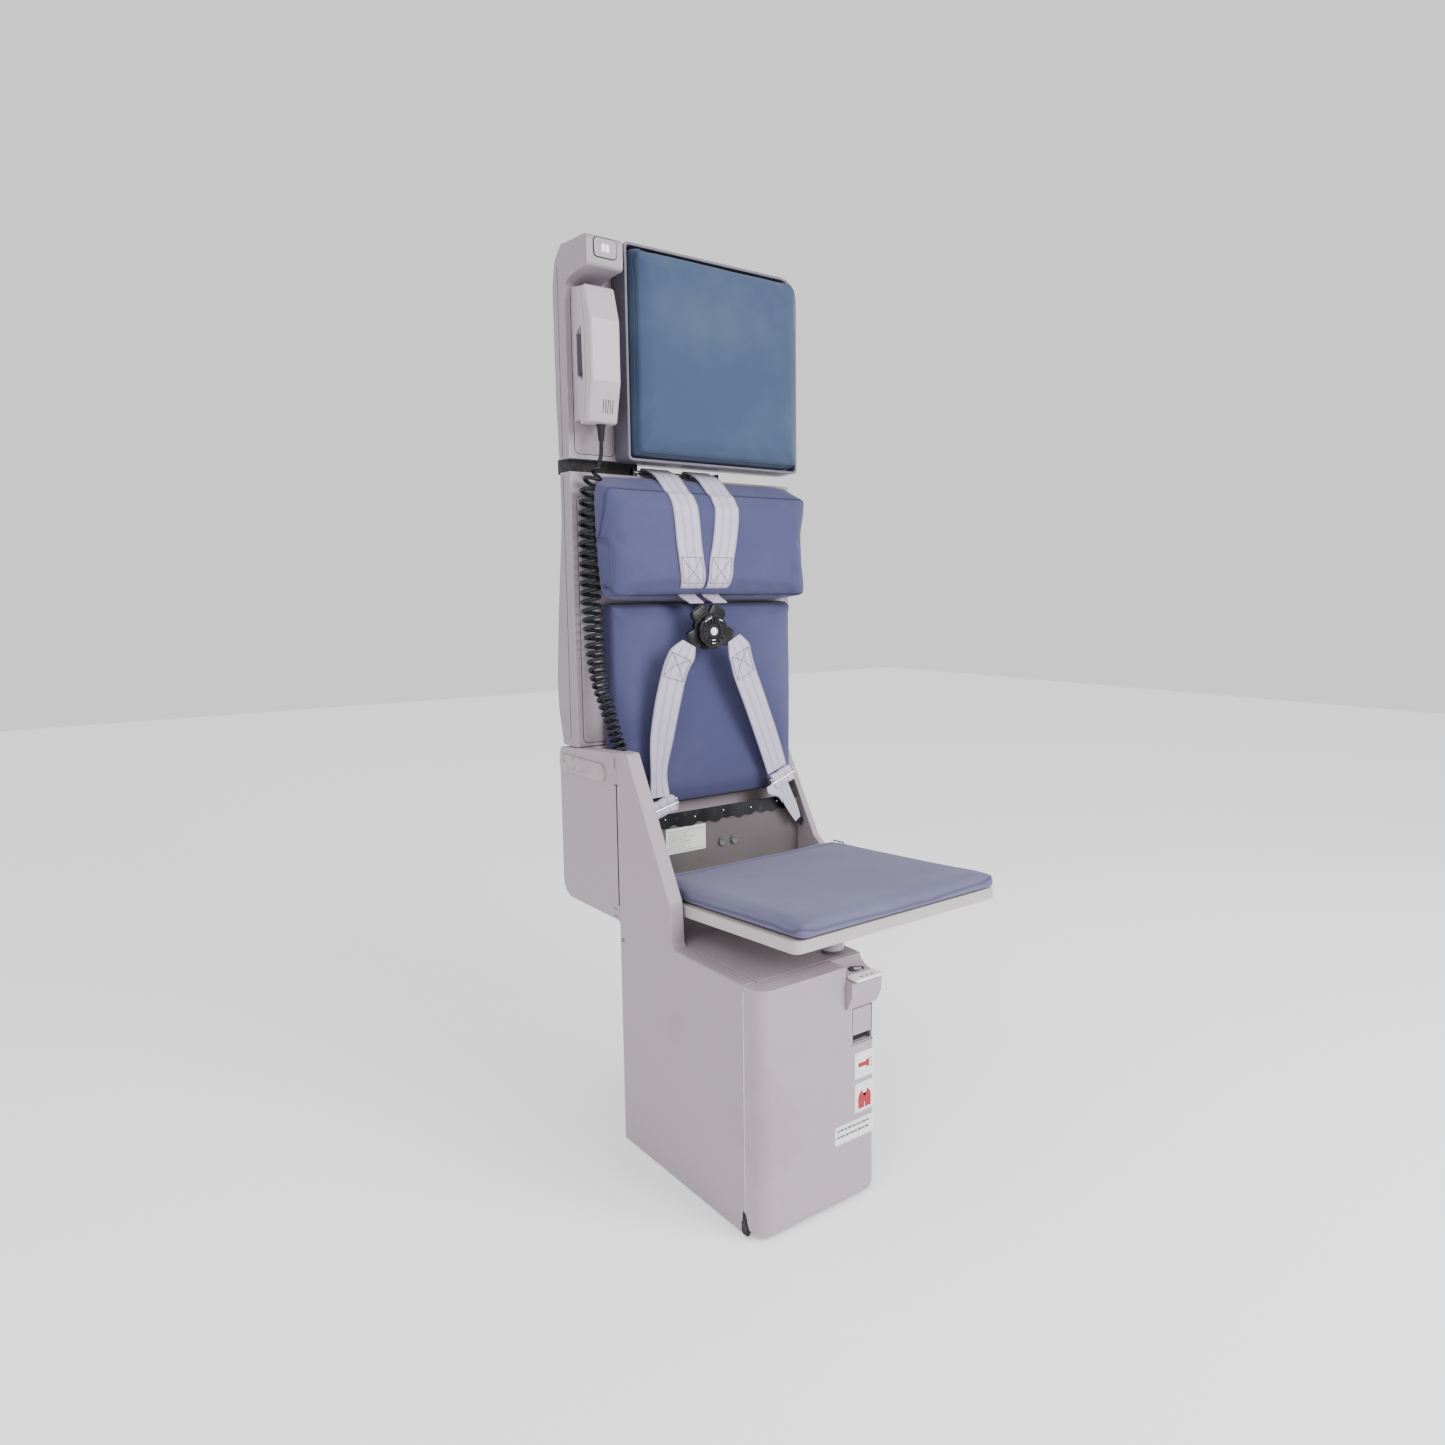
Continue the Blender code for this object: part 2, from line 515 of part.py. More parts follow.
# ---- Back shells -----------------------------------------------------------------------------------------
def back_shells():
    top = MID_SHELL_TOP
    mid = prism("mid_shell", [
        (SHELL_Y, HOUSING_TOP + 0.001), (SHELL_Y, top), (WALL - 0.034, top), (WALL - 0.034, 1.020),
        (WALL - 0.011, 0.855), (WALL, 0.751), (WALL - 0.003, 0.700), (WALL - 0.017, HOUSING_TOP + 0.001)],
        "X", LEFT, RIGHT, SHELL_PLASTIC)
    cut(mid, block("mid_cavity", (LEFT + SHELL_WALL, SHELL_Y + SHELL_WALL, HOUSING_TOP + SHELL_WALL),
                   (RIGHT - SHELL_WALL, WALL + 0.02, top - SHELL_WALL), SHELL_PLASTIC))
    cut(mid, block("web_slot", (-0.112, SHELL_Y + SHELL_WALL, top - 0.02), (0.078, WALL + 0.02, top + 0.01),
                   SHELL_PLASTIC))
    bottom, high = UPPER_SHELL_BOTTOM, SEAT_TOP_HEIGHT
    upper = prism("upper_shell", outline(
        (SHELL_Y, bottom), (SHELL_Y, high), (WALL - 0.062, high, 0.004), (WALL - 0.038, high - 0.020, 0.020),
        (WALL - 0.028, high - 0.060, 0.020), (WALL - 0.029, 1.2185), (WALL - 0.034, bottom)),
        "X", LEFT, RIGHT, SHELL_PLASTIC)
    cut(upper, block("upper_cavity", (LEFT + SHELL_WALL, SHELL_Y + SHELL_WALL, bottom + SHELL_WALL),
                     (RIGHT - SHELL_WALL, WALL + 0.02, high - 0.012), SHELL_PLASTIC))
    pod_right = LEFT + POD_WIDTH
    pod_front = WALL - POD_FRONT
    sweep = []
    for k in range(7):
        turn = math.pi / 2 * k / 6
        sweep.append((pod_front + 0.012 + (SHELL_Y - pod_front - 0.013) * math.sin(turn),
                      POD_FOOT - 0.004 - 0.013 * (1 - math.cos(turn))))
    inside = SHELL_Y + SHELL_WALL / 2
    pod = prism("handset_pod", [
        *outline((inside, high - 0.001), (pod_front, high - 0.003, 0.008), (pod_front, POD_FOOT - 0.004, 0.006),
                 (pod_front + 0.012, POD_FOOT - 0.004))[:-1],
        *sweep, (inside, sweep[-1][1])], "X", LEFT, pod_right, SHELL_PLASTIC)
    combine(upper, pod, "UNION")
    prism("sign_plate", outline(
        (LEFT + 0.012, 1.421, 0.006), (pod_right - 0.012, 1.421, 0.006), (pod_right - 0.012, 1.449, 0.006),
        (LEFT + 0.012, 1.449, 0.006)), "Y", pod_front - 0.0020, pod_front - GAP, WHITE_PLASTIC)


# ---- Cushions --------------------------------------------------------------------------------------------
def cushions():
    tray_front, pad_front = WALL - TRAY_FRONT, WALL - HEADREST_FRONT
    corners = outline((HEADREST_LEFT, HEADREST_BOTTOM, 0.008), (HEADREST_RIGHT, HEADREST_BOTTOM, 0.008),
                      (HEADREST_RIGHT, HEADREST_TOP, 0.036), (HEADREST_LEFT, HEADREST_TOP, 0.008))
    tray_back = SHELL_Y - GAP
    tray = prism("headrest_tray", corners, "Y", tray_front, tray_back, SHELL_PLASTIC)
    w = TRAY_WALL
    inner = outline((HEADREST_LEFT + w, HEADREST_BOTTOM + w, 0.005),
                    (HEADREST_RIGHT - w, HEADREST_BOTTOM + w, 0.005),
                    (HEADREST_RIGHT - w, HEADREST_TOP - w, 0.032), (HEADREST_LEFT + w, HEADREST_TOP - w, 0.005))
    pad_back = pad_front + HEADREST_PAD_T
    cut(tray, prism("tray_hollow", inner, "Y", tray_front - 0.02, pad_back + GAP, SHELL_PLASTIC))
    g = w + GAP
    headrest = prism("headrest_cushion", outline(
        (HEADREST_LEFT + g, HEADREST_BOTTOM + g, 0.005), (HEADREST_RIGHT - g, HEADREST_BOTTOM + g, 0.005),
        (HEADREST_RIGHT - g, HEADREST_TOP - g, 0.032), (HEADREST_LEFT + g, HEADREST_TOP - g, 0.005)),
        "Y", pad_front, pad_back, HEADREST_FABRIC)
    soften(headrest, 0.004, 2, 60)
    back, front = SHELL_Y - GAP, WALL - BOLSTER_FRONT
    step = WALL - CORD_CHANNEL_IN
    bolster = prism("bolster_cushion", outline(
        (BOLSTER_LEFT, front, 0.010), (BOLSTER_RIGHT, front, 0.010), (BOLSTER_RIGHT, back),
        (LOWER_LEFT, back), (LOWER_LEFT, step + 0.006), (BOLSTER_LEFT, step - 0.006)),
        "Z", BOLSTER_BOTTOM, BOLSTER_TOP, SEAT_FABRIC)
    soften(bolster, 0.004, 2, 60)
    lower = block("lower_back_cushion", (LOWER_LEFT, WALL - LOWER_FRONT, LOWER_BOTTOM),
                  (LOWER_RIGHT, back, BOLSTER_BOTTOM - 0.001), SEAT_FABRIC)
    soften(lower, 0.006, 2)


# ---- Folding seat pan --------------------------------------------------------------------------------------
def seat_pan():
    """Drawn square to its own hinge: -y is forward from the axis and z is up off the pan."""
    axis = pivot("seat_pan_hinge", (0, HINGE_Y, HINGE_Z), -PAN_SLOPE)
    pan = prism("seat_pan", outline(
        (PAN_LEFT, -PAN_BACK), (PAN_LEFT, -PAN_REACH, PAN_CORNER_R), (PAN_RIGHT, -PAN_REACH, PAN_CORNER_R),
        (PAN_RIGHT, -PAN_BACK)),
        "Z", PAN_UNDER_H, PAN_TOP_H, SHELL_PLASTIC, axis)
    soften(pan, 0.002, 2)
    in_left, in_right = PAN_LEFT + PAN_SKIN, PAN_RIGHT - PAN_SKIN
    in_front, in_back = -PAN_REACH + PAN_SKIN, -PAN_BACK + 0.02
    hollow_r = PAN_CORNER_R - PAN_SKIN
    hollow = prism("pan_hollow", outline(
        (in_left, in_back), (in_left, in_front, hollow_r), (in_right, in_front, hollow_r), (in_right, in_back)),
        "Z", PAN_UNDER_H - 0.02, PAN_TOP_H - PAN_SKIN, SHELL_PLASTIC, axis)
    cut(pan, hollow)
    cushion = prism("seat_cushion", outline(
        (PAN_LEFT + CUSHION_SIDE_IN, -CUSHION_BACK), (PAN_LEFT + CUSHION_SIDE_IN, -CUSHION_REACH, 0.014),
        (PAN_RIGHT - CUSHION_SIDE_IN, -CUSHION_REACH, 0.014), (PAN_RIGHT - CUSHION_SIDE_IN, -CUSHION_BACK)),
        "Z", PAN_TOP_H + GAP, PAN_TOP_H + CUSHION_T, SEAT_FABRIC, axis)
    soften(cushion, 0.005, 2)
    foot = (BOX_HEIGHT + PAD_T + GAP - HINGE_Z) / math.cos(PAN_SLOPE) - BOSS_FORWARD * math.tan(PAN_SLOPE)
    top = PAN_TOP_H - PAN_SKIN - GAP
    flare = []
    for k in range(5):
        turn = math.pi / 2 * k / 4
        flare.append((BOSS_TOP_R - (BOSS_TOP_R - BOSS_FOOT_R) * math.sin(turn),
                      PAN_UNDER_H - (PAN_UNDER_H - foot - 0.004) * (1 - math.cos(turn))))
    turned("pan_support_boss", [(0, top), (BOSS_TOP_R, top), *flare, (BOSS_FOOT_R, foot + 0.001), (0, foot + 0.001)],
           (BOSS_X, -BOSS_FORWARD, 0), "Z", SHELL_PLASTIC, axis, 20)
    arm_top = PAN_TOP_H - PAN_SKIN - GAP
    for side, x in (("left", PAN_LEFT + ARM_INSET), ("right", PAN_RIGHT - ARM_INSET - ARM_T)):
        points = []
        for k in range(13):
            turn = math.radians(125 - 250 * k / 12)
            points.append((EYE_R * math.cos(turn), EYE_R * math.sin(turn)))
        points += [(-PAN_BACK - 0.002, PAN_UNDER_H - 0.002), (-ARM_LENGTH, PAN_UNDER_H + 0.004),
                   (-ARM_LENGTH, arm_top), (-PAN_BACK + 0.004, arm_top)]
        arm = prism("pan_hinge_arm_" + side, points, "X", x, x + ARM_T, STEEL, axis)
        cut(arm, disc("eye_bore_" + side, SHAFT_R + SHAFT_CLEARANCE, x - 0.005, x + ARM_T + 0.005, (0, 0, 0), "X",
                      STEEL, axis, 24))
    disc("pan_hinge_shaft", SHAFT_R, SIDE_IN_LEFT + GAP, SIDE_IN_RIGHT - GAP, (0, HINGE_Y, HINGE_Z), "X", STEEL)


# ---- Harness -----------------------------------------------------------------------------------------------
def harness():
    rear, inner = WALL - 0.008, SHELL_Y + SHELL_WALL + 0.002
    left, right, t = REEL_LEFT, REEL_RIGHT, REEL_METAL_T
    reel_frame = block("reel_frame", (left, inner, REEL_BOTTOM), (right, rear, REEL_TOP), BLACK_METAL)
    cut(reel_frame, block("reel_gap", (left + t, inner - 0.01, REEL_BOTTOM - 0.01),
                          (right - t, rear - t, REEL_TOP + 0.01), BLACK_METAL))
    spool_y = inner + SPOOL_R + 0.006
    cut(reel_frame, block("reel_relief", (left - 0.01, spool_y + 0.002, REEL_RELIEF_Z),
                          (right + 0.01, rear + 0.01, REEL_TOP + 0.05), BLACK_METAL))
    ends = (left + t + 0.0005, right - t - 0.0005)
    disc("reel_spool", SPOOL_R, *ends, (0, spool_y, SPOOL_Z), "X", BLACK_METAL, steps=20)
    bar_y, bar_z, bar_r = inner + 0.006, GUIDE_BAR_Z, GUIDE_BAR_R
    disc("web_guide_bar", bar_r, *ends, (0, bar_y, bar_z), "X", STEEL, steps=12)
    over = (bar_r + STRAP_T / 2 + 0.0008) / math.cos(math.radians(22.5))
    wrap = [(bar_y + over * math.cos(math.radians(a)), bar_z + over * math.sin(math.radians(a)))
            for a in (0, 45, 90)]
    lie = WALL - BOLSTER_FRONT - STRAP_T / 2 - 0.0012
    half = STRAP_WIDTH / 2
    for side, top_x, mid_x, end_x in (("left", -0.0610, -0.0510, -0.0420), ("right", 0.0240, 0.0105, 0.0060)):
        lean = (mid_x - top_x) * 0.25
        ribbon("shoulder_strap_" + side, [
            ((top_x, spool_y - 0.004, 1.032), (half, 0, 0)), *[((top_x, y, z), (half, 0, 0)) for y, z in wrap],
            ((top_x, SHELL_Y - 0.006, MID_SHELL_TOP + 0.009), (half, 0, 0)),
            ((top_x, SHELL_Y - 0.030, 1.0985), (half, 0, 0)), ((top_x, lie + 0.034, BOLSTER_TOP + 0.0065), (half, 0, 0)),
            ((top_x, lie + 0.012, BOLSTER_TOP + 0.0035), (half, 0, 0)),
            ((top_x, lie + 0.003, BOLSTER_TOP + 0.0015), (half, 0, 0)),
            ((top_x, lie, BOLSTER_TOP - 0.003), (half, 0, 0)), ((top_x, lie, BOLSTER_TOP - 0.018), (half, 0, 0)),
            ((mid_x, lie, 0.955), (half, 0, lean * 0.1)), ((mid_x + (end_x - mid_x) * 0.6, lie, 0.915), (half, 0, 0)),
            ((end_x, lie - 0.002, 0.893), (half * 0.62, 0, 0)), ((end_x, lie - 0.003, 0.884), (half * 0.6, 0, 0))],
            WEBBING)
    laps = {
        "left": [((-0.0640, 0.1548, 0.811), (0.0150, 0, -0.0080)), ((-0.0725, 0.1550, 0.798), (0.0225, 0, -0.0105)),
                 ((-0.0850, 0.160, 0.774), (0.0235, 0, -0.0085)), ((-0.0965, 0.170, 0.709), (0.0245, 0, -0.0050)),
                 ((-0.1025, 0.180, 0.650), (0.0235, 0.001, -0.0025)), ((-0.1050, 0.188, 0.590), (0.0190, 0.0060, 0)),
                 ((-0.1020, 0.191, 0.5515), (0.0200, 0.0020, 0))],
        "right": [((0.0370, 0.1548, 0.818), (0.0150, 0, 0.0080)), ((0.0440, 0.1550, 0.800), (0.0215, 0, 0.0115)),
                  ((0.0570, 0.160, 0.766), (0.0225, 0, 0.0105)), ((0.0870, 0.168, 0.706), (0.0221, 0, 0.0106)),
                  ((0.1245, 0.178, 0.628), (0.0221, 0, 0.0106)), ((0.1500, 0.184, 0.5705), (0.0215, 0, 0.0078))],
    }
    for side, route in laps.items():
        ribbon("lap_strap_" + side, route, WEBBING)
    adjusters = {"left": ((-0.0985, 0.1895, 0.530), 14), "right": ((0.1605, 0.187, 0.5525), 20)}
    for side, (place, lean) in adjusters.items():
        body = block("lap_adjuster_" + side, (-0.026, -0.007, -0.014), (0.026, 0.007, 0.014), STEEL)
        soften(body, 0.003, 2)
        body.location = place
        body.rotation_euler = (0, -math.radians(lean), 0)
    lugs = {"left": [((-0.1045, 0.190, 0.510), (0.0090, 0, 0.004)), ((-0.1500, 0.189, 0.482), (0.0055, 0, 0.0075)),
                     ((SIDE_IN_LEFT + 0.006, 0.186, 0.458), (0.0035, 0, 0.0055))],
            "right": [((0.1668, 0.187, 0.5355), (0.0110, 0, 0.0040)), ((0.1850, 0.1865, 0.497), (0.0095, 0, 0.0045)),
                      ((SIDE_IN_RIGHT - 0.004, 0.186, 0.458), (0.0025, 0, 0.0055))]}
    for side, route in lugs.items():
        ribbon("lap_anchor_" + side, route, BLACK_METAL, 0.004)


def buckle():
    back, mid = BUCKLE_Y, BUCKLE_Y - BUCKLE_BODY_T
    ring = [(BUCKLE_X + BUCKLE_R * math.cos(math.radians(22.5 + 45 * k)),
             BUCKLE_Z + BUCKLE_R * math.sin(math.radians(22.5 + 45 * k)), 0.008) for k in range(8)]
    body = prism("buckle_body", outline(*ring, steps=2), "Y", mid, back, DARK_PLASTIC)
    soften(body, 0.002, 2, 60)
    axis = pivot("buckle_knob_axis", (BUCKLE_X, mid, BUCKLE_Z))
    turned("buckle_knob", [(0, -GAP), (KNOB_R - 0.001, -GAP), (KNOB_R, -0.003), (KNOB_R - 0.003, -KNOB_T + 0.002),
                           (KNOB_R - 0.008, -KNOB_T), (0, -KNOB_T)], (0, 0, 0), "Y", DARK_PLASTIC, axis)
    tongue_y = back - 0.005
    tongues = {"shoulder_left": (-0.0420, 0.877), "shoulder_right": (0.0060, 0.877),
               "lap_left": (-0.0600, 0.8165), "lap_right": (0.0335, 0.8225)}
    for name, (x, z) in tongues.items():
        out = Vector((x - BUCKLE_X, z - BUCKLE_Z)).normalized()
        side = Vector((-out.y, out.x)) * 0.011
        near = Vector((BUCKLE_X, BUCKLE_Z)) + out * (BUCKLE_R + 0.0008)
        far = Vector((x, z)) - out * 0.001
        prism("tongue_" + name, [near - side, far - side * 1.2, far + side * 1.2, near + side], "Y",
              tongue_y - TONGUE_T, tongue_y, BLACK_METAL)


# ---- Interphone handset ---------------------------------------------------------------------------------------
def handset():
    """Seen from the side: the front is arched in three flats, the back follows it 30 mm behind."""
    front = [(WALL - 0.129, HANDSET_TOP), (WALL - 0.145, 1.330), (WALL - 0.145, 1.235), (WALL - 0.130, HANDSET_BOTTOM)]
    seam = [(WALL - 0.110, HANDSET_TOP), (WALL - 0.122, 1.330), (WALL - 0.123, 1.235), (WALL - 0.112, HANDSET_BOTTOM)]
    rear = [(WALL - 0.100, HANDSET_TOP), (WALL - 0.112, 1.330), (WALL - 0.115, 1.235), (WALL - 0.103, HANDSET_BOTTOM)]
    axis = pivot("handset_slide", ((HANDSET_LEFT + HANDSET_RIGHT) / 2, WALL - 0.12, 1.278))
    shell = prism("handset_front_shell", [*front, *reversed(seam)], "X", HANDSET_LEFT, HANDSET_RIGHT, HANDSET_PLASTIC)
    soften(shell, 0.0035, 2, 60)
    behind = [(y + GAP, z) for y, z in seam]
    back = prism("handset_rear_shell", [*behind, *reversed(rear)], "X", HANDSET_LEFT + 0.0005, HANDSET_RIGHT - 0.0005,
                 HANDSET_PLASTIC)
    middle = (HANDSET_LEFT + HANDSET_RIGHT) / 2
    grip_y = WALL - 0.1135
    hole = block("button_hole", (middle - 0.0065, WALL - 0.1215, 1.2695), (middle + 0.0065, WALL - 0.09, 1.3005),
                 HANDSET_PLASTIC)
    cut(back, hole)
    for name, top, foot in (("earpiece", rear[0], rear[1]), ("microphone", rear[2], rear[3])):
        place = (middle, (top[0] + foot[0]) / 2, (top[1] + foot[1]) / 2)
        lean = math.atan2(foot[0] - top[0], top[1] - foot[1])
        pocket = disc(name + "_pocket", CAP_R + GAP, -CAP_DEPTH, 0.03, (0, 0, 0), "Y", HANDSET_PLASTIC, steps=20)
        cap = disc("handset_" + name, CAP_R, -CAP_DEPTH + GAP, -0.0007, (0, 0, 0), "Y", DARK_PLASTIC, axis, 20)
        for obj in (pocket, cap):
            obj.location = Vector(place) - (axis.location if obj.parent else Vector())
            obj.rotation_euler.x = lean
        cut(back, pocket)
    hang(axis, shell)
    hang(axis, back)
    button_axis = pivot("push_to_talk_slide", (0, grip_y - axis.location.y, 0))
    button_axis.parent = axis
    button = block("push_to_talk_button", (-0.0060, -0.0045, -0.0083), (0.0060, 0.0033, 0.0217), DARK_PLASTIC,
                   button_axis)
    soften(button, 0.001, 1)
    relief_y = WALL - 0.1120
    relief_z = HANDSET_BOTTOM - GAP
    relief = turned("cord_strain_relief", [(0, -0.0255), (CORD_R + 0.0015, -0.0255), (CORD_R + 0.0035, -0.004),
                                           (0.0085, -0.001), (0.0085, 0), (0, 0)],
                    (middle + 0.0055, relief_y, relief_z), "Z", CORD_RUBBER, steps=14)
    hang(axis, relief)
    cradle()


def cradle():
    """A block on the shell's face with two cheeks that the handset lies on and a finger recess between them."""
    back = SHELL_Y - GAP
    floor = WALL - 0.083
    off = GAP + 0.0004
    shape = [(back, 1.180), (back, 1.391), (WALL - 0.083, 1.390), (WALL - 0.100 + off, 1.383), (WALL - 0.112 + off, 1.333),
             (floor, 1.318), (floor, 1.250), (WALL - 0.115 + off, 1.236), (WALL - 0.104 + off, 1.180)]
    body = prism("handset_cradle", shape, "X", CRADLE_LEFT, CRADLE_LEFT + CRADLE_WIDTH, SHELL_PLASTIC)
    pin = (CRADLE_LEFT + CRADLE_WIDTH / 2, floor, 1.258)
    reach = WALL - 0.1145 - floor
    cut(body, disc("plunger_bore", 0.0033, -0.005, 0.0075, pin, "Y", SHELL_PLASTIC, steps=16))
    axis = pivot("hook_switch_slide", pin)
    disc("hook_switch_plunger", 0.003, reach + 0.0012, 0.0068, (0, 0, 0), "Y", DARK_PLASTIC, axis, 16)


def from_corner(route):
    return [Vector((LEFT + x, WALL - y, z)) for x, y, z in route]


def handset_cords():
    """The short straight lead under the handset, then the curly cord down to the gland behind the side panel."""
    points = smooth_route(from_corner(LEAD_ROUTE), 2)
    tube("handset_lead", points, [CORD_R] * len(points), CORD_RUBBER)
    route = from_corner(COIL_ROUTE)
    points = smooth_route(route, 2)
    last = len(COIL_SHARES) - 1
    radii = []
    for k in range(len(points)):
        i = min(k // 2, last)
        j = min(i + 1, last)
        radii.append(COIL_R * (COIL_SHARES[i] + (COIL_SHARES[j] - COIL_SHARES[i]) * (k % 2) / 2))
    tube("curly_cord", points, radii, CORD_RUBBER)
    disc("cord_gland", GLAND_R, GLAND_FOOT, GLAND_TOP, (route[-1].x, route[-1].y, 0), "Z", DARK_PLASTIC, steps=16)


stowage_box()
door_axis = door()
door_fittings(door_axis)
lower_housing()
back_shells()
cushions()
seat_pan()
harness()
buckle()
handset()
handset_cords()
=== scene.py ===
"""Looks of a folding cabin attendant seat with a stowage box, a harness and an interphone handset."""

import math
import random

import bmesh
import bpy
from mathutils import Matrix, Vector, kdtree, noise


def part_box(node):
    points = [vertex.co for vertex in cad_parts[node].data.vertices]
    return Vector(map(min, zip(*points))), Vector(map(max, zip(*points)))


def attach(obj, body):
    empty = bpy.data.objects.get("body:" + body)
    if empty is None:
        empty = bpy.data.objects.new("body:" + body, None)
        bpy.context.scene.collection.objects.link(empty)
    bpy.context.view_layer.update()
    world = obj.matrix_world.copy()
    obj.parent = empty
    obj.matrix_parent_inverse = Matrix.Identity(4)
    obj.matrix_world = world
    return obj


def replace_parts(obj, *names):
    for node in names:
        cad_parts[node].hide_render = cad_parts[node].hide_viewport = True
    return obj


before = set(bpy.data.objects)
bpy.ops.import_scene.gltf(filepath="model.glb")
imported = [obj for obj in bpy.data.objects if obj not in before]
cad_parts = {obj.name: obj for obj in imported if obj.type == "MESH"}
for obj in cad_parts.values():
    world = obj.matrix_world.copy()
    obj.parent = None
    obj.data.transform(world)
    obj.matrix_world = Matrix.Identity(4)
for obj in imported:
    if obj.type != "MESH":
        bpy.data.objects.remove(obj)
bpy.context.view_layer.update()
bpy.ops.object.select_all(action="DESELECT")

# ---- Camera ------------------------------------------------------------------------------------------------------
# Eye height of somebody standing in front of the seat's left corner, looking slightly down at it.
# The lens is as wide as a telephone's, so the upright edges are kept upright by the shift.
camera_data = bpy.data.cameras.new("camera")
camera_data.sensor_width = 36.0
camera_data.lens = 25.593
camera_data.shift_x = -0.05904
camera_data.shift_y = -0.01054
camera_data.clip_start = 0.05
camera = bpy.data.objects.new("camera", camera_data)
bpy.context.scene.collection.objects.link(camera)
CAMERA_PLACE = (-1.0151, -1.3285, 0.9123)
CAMERA_HEADING, CAMERA_PITCH, CAMERA_ROLL = math.radians(-39.349), math.radians(83.24), math.radians(-0.1825)
camera.matrix_world = (Matrix.Translation(CAMERA_PLACE) @ Matrix.Rotation(CAMERA_HEADING, 4, "Z")
                       @ Matrix.Rotation(CAMERA_PITCH, 4, "X") @ Matrix.Rotation(CAMERA_ROLL, 4, "Z"))
bpy.context.scene.camera = camera

# ---- Floor and light ---------------------------------------------------------------------------------------------
# A pale floor with nothing on it, a bright even room, and two large soft lamps.
# One lamp is high on the left of the seat and one is in front of it, so that the fronts are the brightest faces.
bpy.ops.mesh.primitive_plane_add(size=14, location=(0, 0, -0.0005))
floor = bpy.context.object
floor.name = "floor"
floor_paint = bpy.data.materials.new("floor_paint")
floor_paint.use_nodes = True
for key, value in (("Base Color", (0.93, 0.93, 0.94, 1)), ("Roughness", 0.9),
                   ("Emission Color", (1.0, 1.0, 1.0, 1)), ("Emission Strength", 0.30)):
    floor_paint.node_tree.nodes["Principled BSDF"].inputs[key].default_value = value
floor.data.materials.append(floor_paint)
room = bpy.data.worlds.new("room")
room.use_nodes = True
room.node_tree.nodes["Background"].inputs["Color"].default_value = (0.97, 0.975, 1.0, 1)
room.node_tree.nodes["Background"].inputs["Strength"].default_value = 1.10
bpy.context.scene.world = room
LAMPS = [("lamp_left", (-2.3, -1.3, 2.6), (math.radians(52), 0, math.radians(-62)), 1.8, 40),
         ("lamp_front", (0.9, -2.8, 2.2), (math.radians(60), 0, math.radians(18)), 1.6, 120)]
for name, place, turn, size, power in LAMPS:
    lamp_data = bpy.data.lights.new(name, "AREA")
    lamp_data.size = size
    lamp_data.energy = power
    lamp = bpy.data.objects.new(name, lamp_data)
    lamp.location = place
    lamp.rotation_euler = turn
    bpy.context.scene.collection.objects.link(lamp)

# ---- Handset lead and curly cord ---------------------------------------------------------------------------------
# The handset's cord is a black rubber-jacketed cable: a short straight lead, then a helix wound on a mandrel and
# set by heat, whose turns are drawn out at the top by their own weight and lie close together lower down.
# It hangs behind the handset and goes into a gland behind the left side panel.
CORD_R = 0.0033
LEAD_ROUTE = [(-0.1905, 0.2040, 1.1460), (-0.1905, 0.2045, 1.1380), (-0.1900, 0.2065, 1.1280),
              (-0.1902, 0.2095, 1.1185), (-0.1910, 0.2120, 1.1125)]
COIL_ROUTE = [(-0.1915, 0.2135, 1.1090), (-0.2045, 0.2210, 1.0700), (-0.2078, 0.2225, 1.0040),
              (-0.2085, 0.2225, 0.9550), (-0.2085, 0.2225, 0.8900), (-0.2040, 0.2195, 0.8065),
              (-0.2020, 0.2095, 0.7570), (-0.1995, 0.1965, 0.7220), (-0.1905, 0.1800, 0.6600),
              (-0.1845, 0.1760, 0.6400), (-0.1825, 0.1755, 0.6160)]
COIL_SIZES = [0.75, 0.90, 1.0, 1.0, 1.0, 0.93, 0.86, 0.77, 0.68, 0.64, 0.60]
COIL_R = 0.018
COIL_TURNS = 36
STEPS_PER_TURN = 16
ROUTE_STEPS = 24  # points drawn between two points of COIL_ROUTE
HANG = 0.30  # how much wider the top turns stand apart than even ones would


def add_node(tree, kind, values=(), **settings):
    """A shader node, with its settings and then its inputs, each a value or the socket that feeds it."""
    made = tree.nodes.new(kind)
    for key, value in settings.items():
        setattr(made, key, value)
    for key, value in dict(values).items():
        if isinstance(value, bpy.types.NodeSocket):
            tree.links.new(value, made.inputs[key])
        else:
            made.inputs[key].default_value = value
    return made


def new_finish(name, **values):
    """A material with the shader's own sockets set by name, underscores standing for spaces."""
    finish = bpy.data.materials.new(name)
    finish.use_nodes = True
    tree = finish.node_tree
    shader = tree.nodes["Principled BSDF"]
    for key, value in values.items():
        shader.inputs[key.replace("_", " ")].default_value = value
    return finish, tree, shader


def new_group(name, inputs, outputs):
    """A shader node group; inputs are (name, kind, default) and outputs (name, kind)."""
    group = bpy.data.node_groups.new(name, "ShaderNodeTree")
    for label, kind, default in inputs:
        socket = group.interface.new_socket(label, in_out="INPUT", socket_type="NodeSocket" + kind)
        socket.default_value = default
    for label, kind in outputs:
        group.interface.new_socket(label, in_out="OUTPUT", socket_type="NodeSocket" + kind)
    return group, group.nodes.new("NodeGroupInput").outputs, group.nodes.new("NodeGroupOutput")


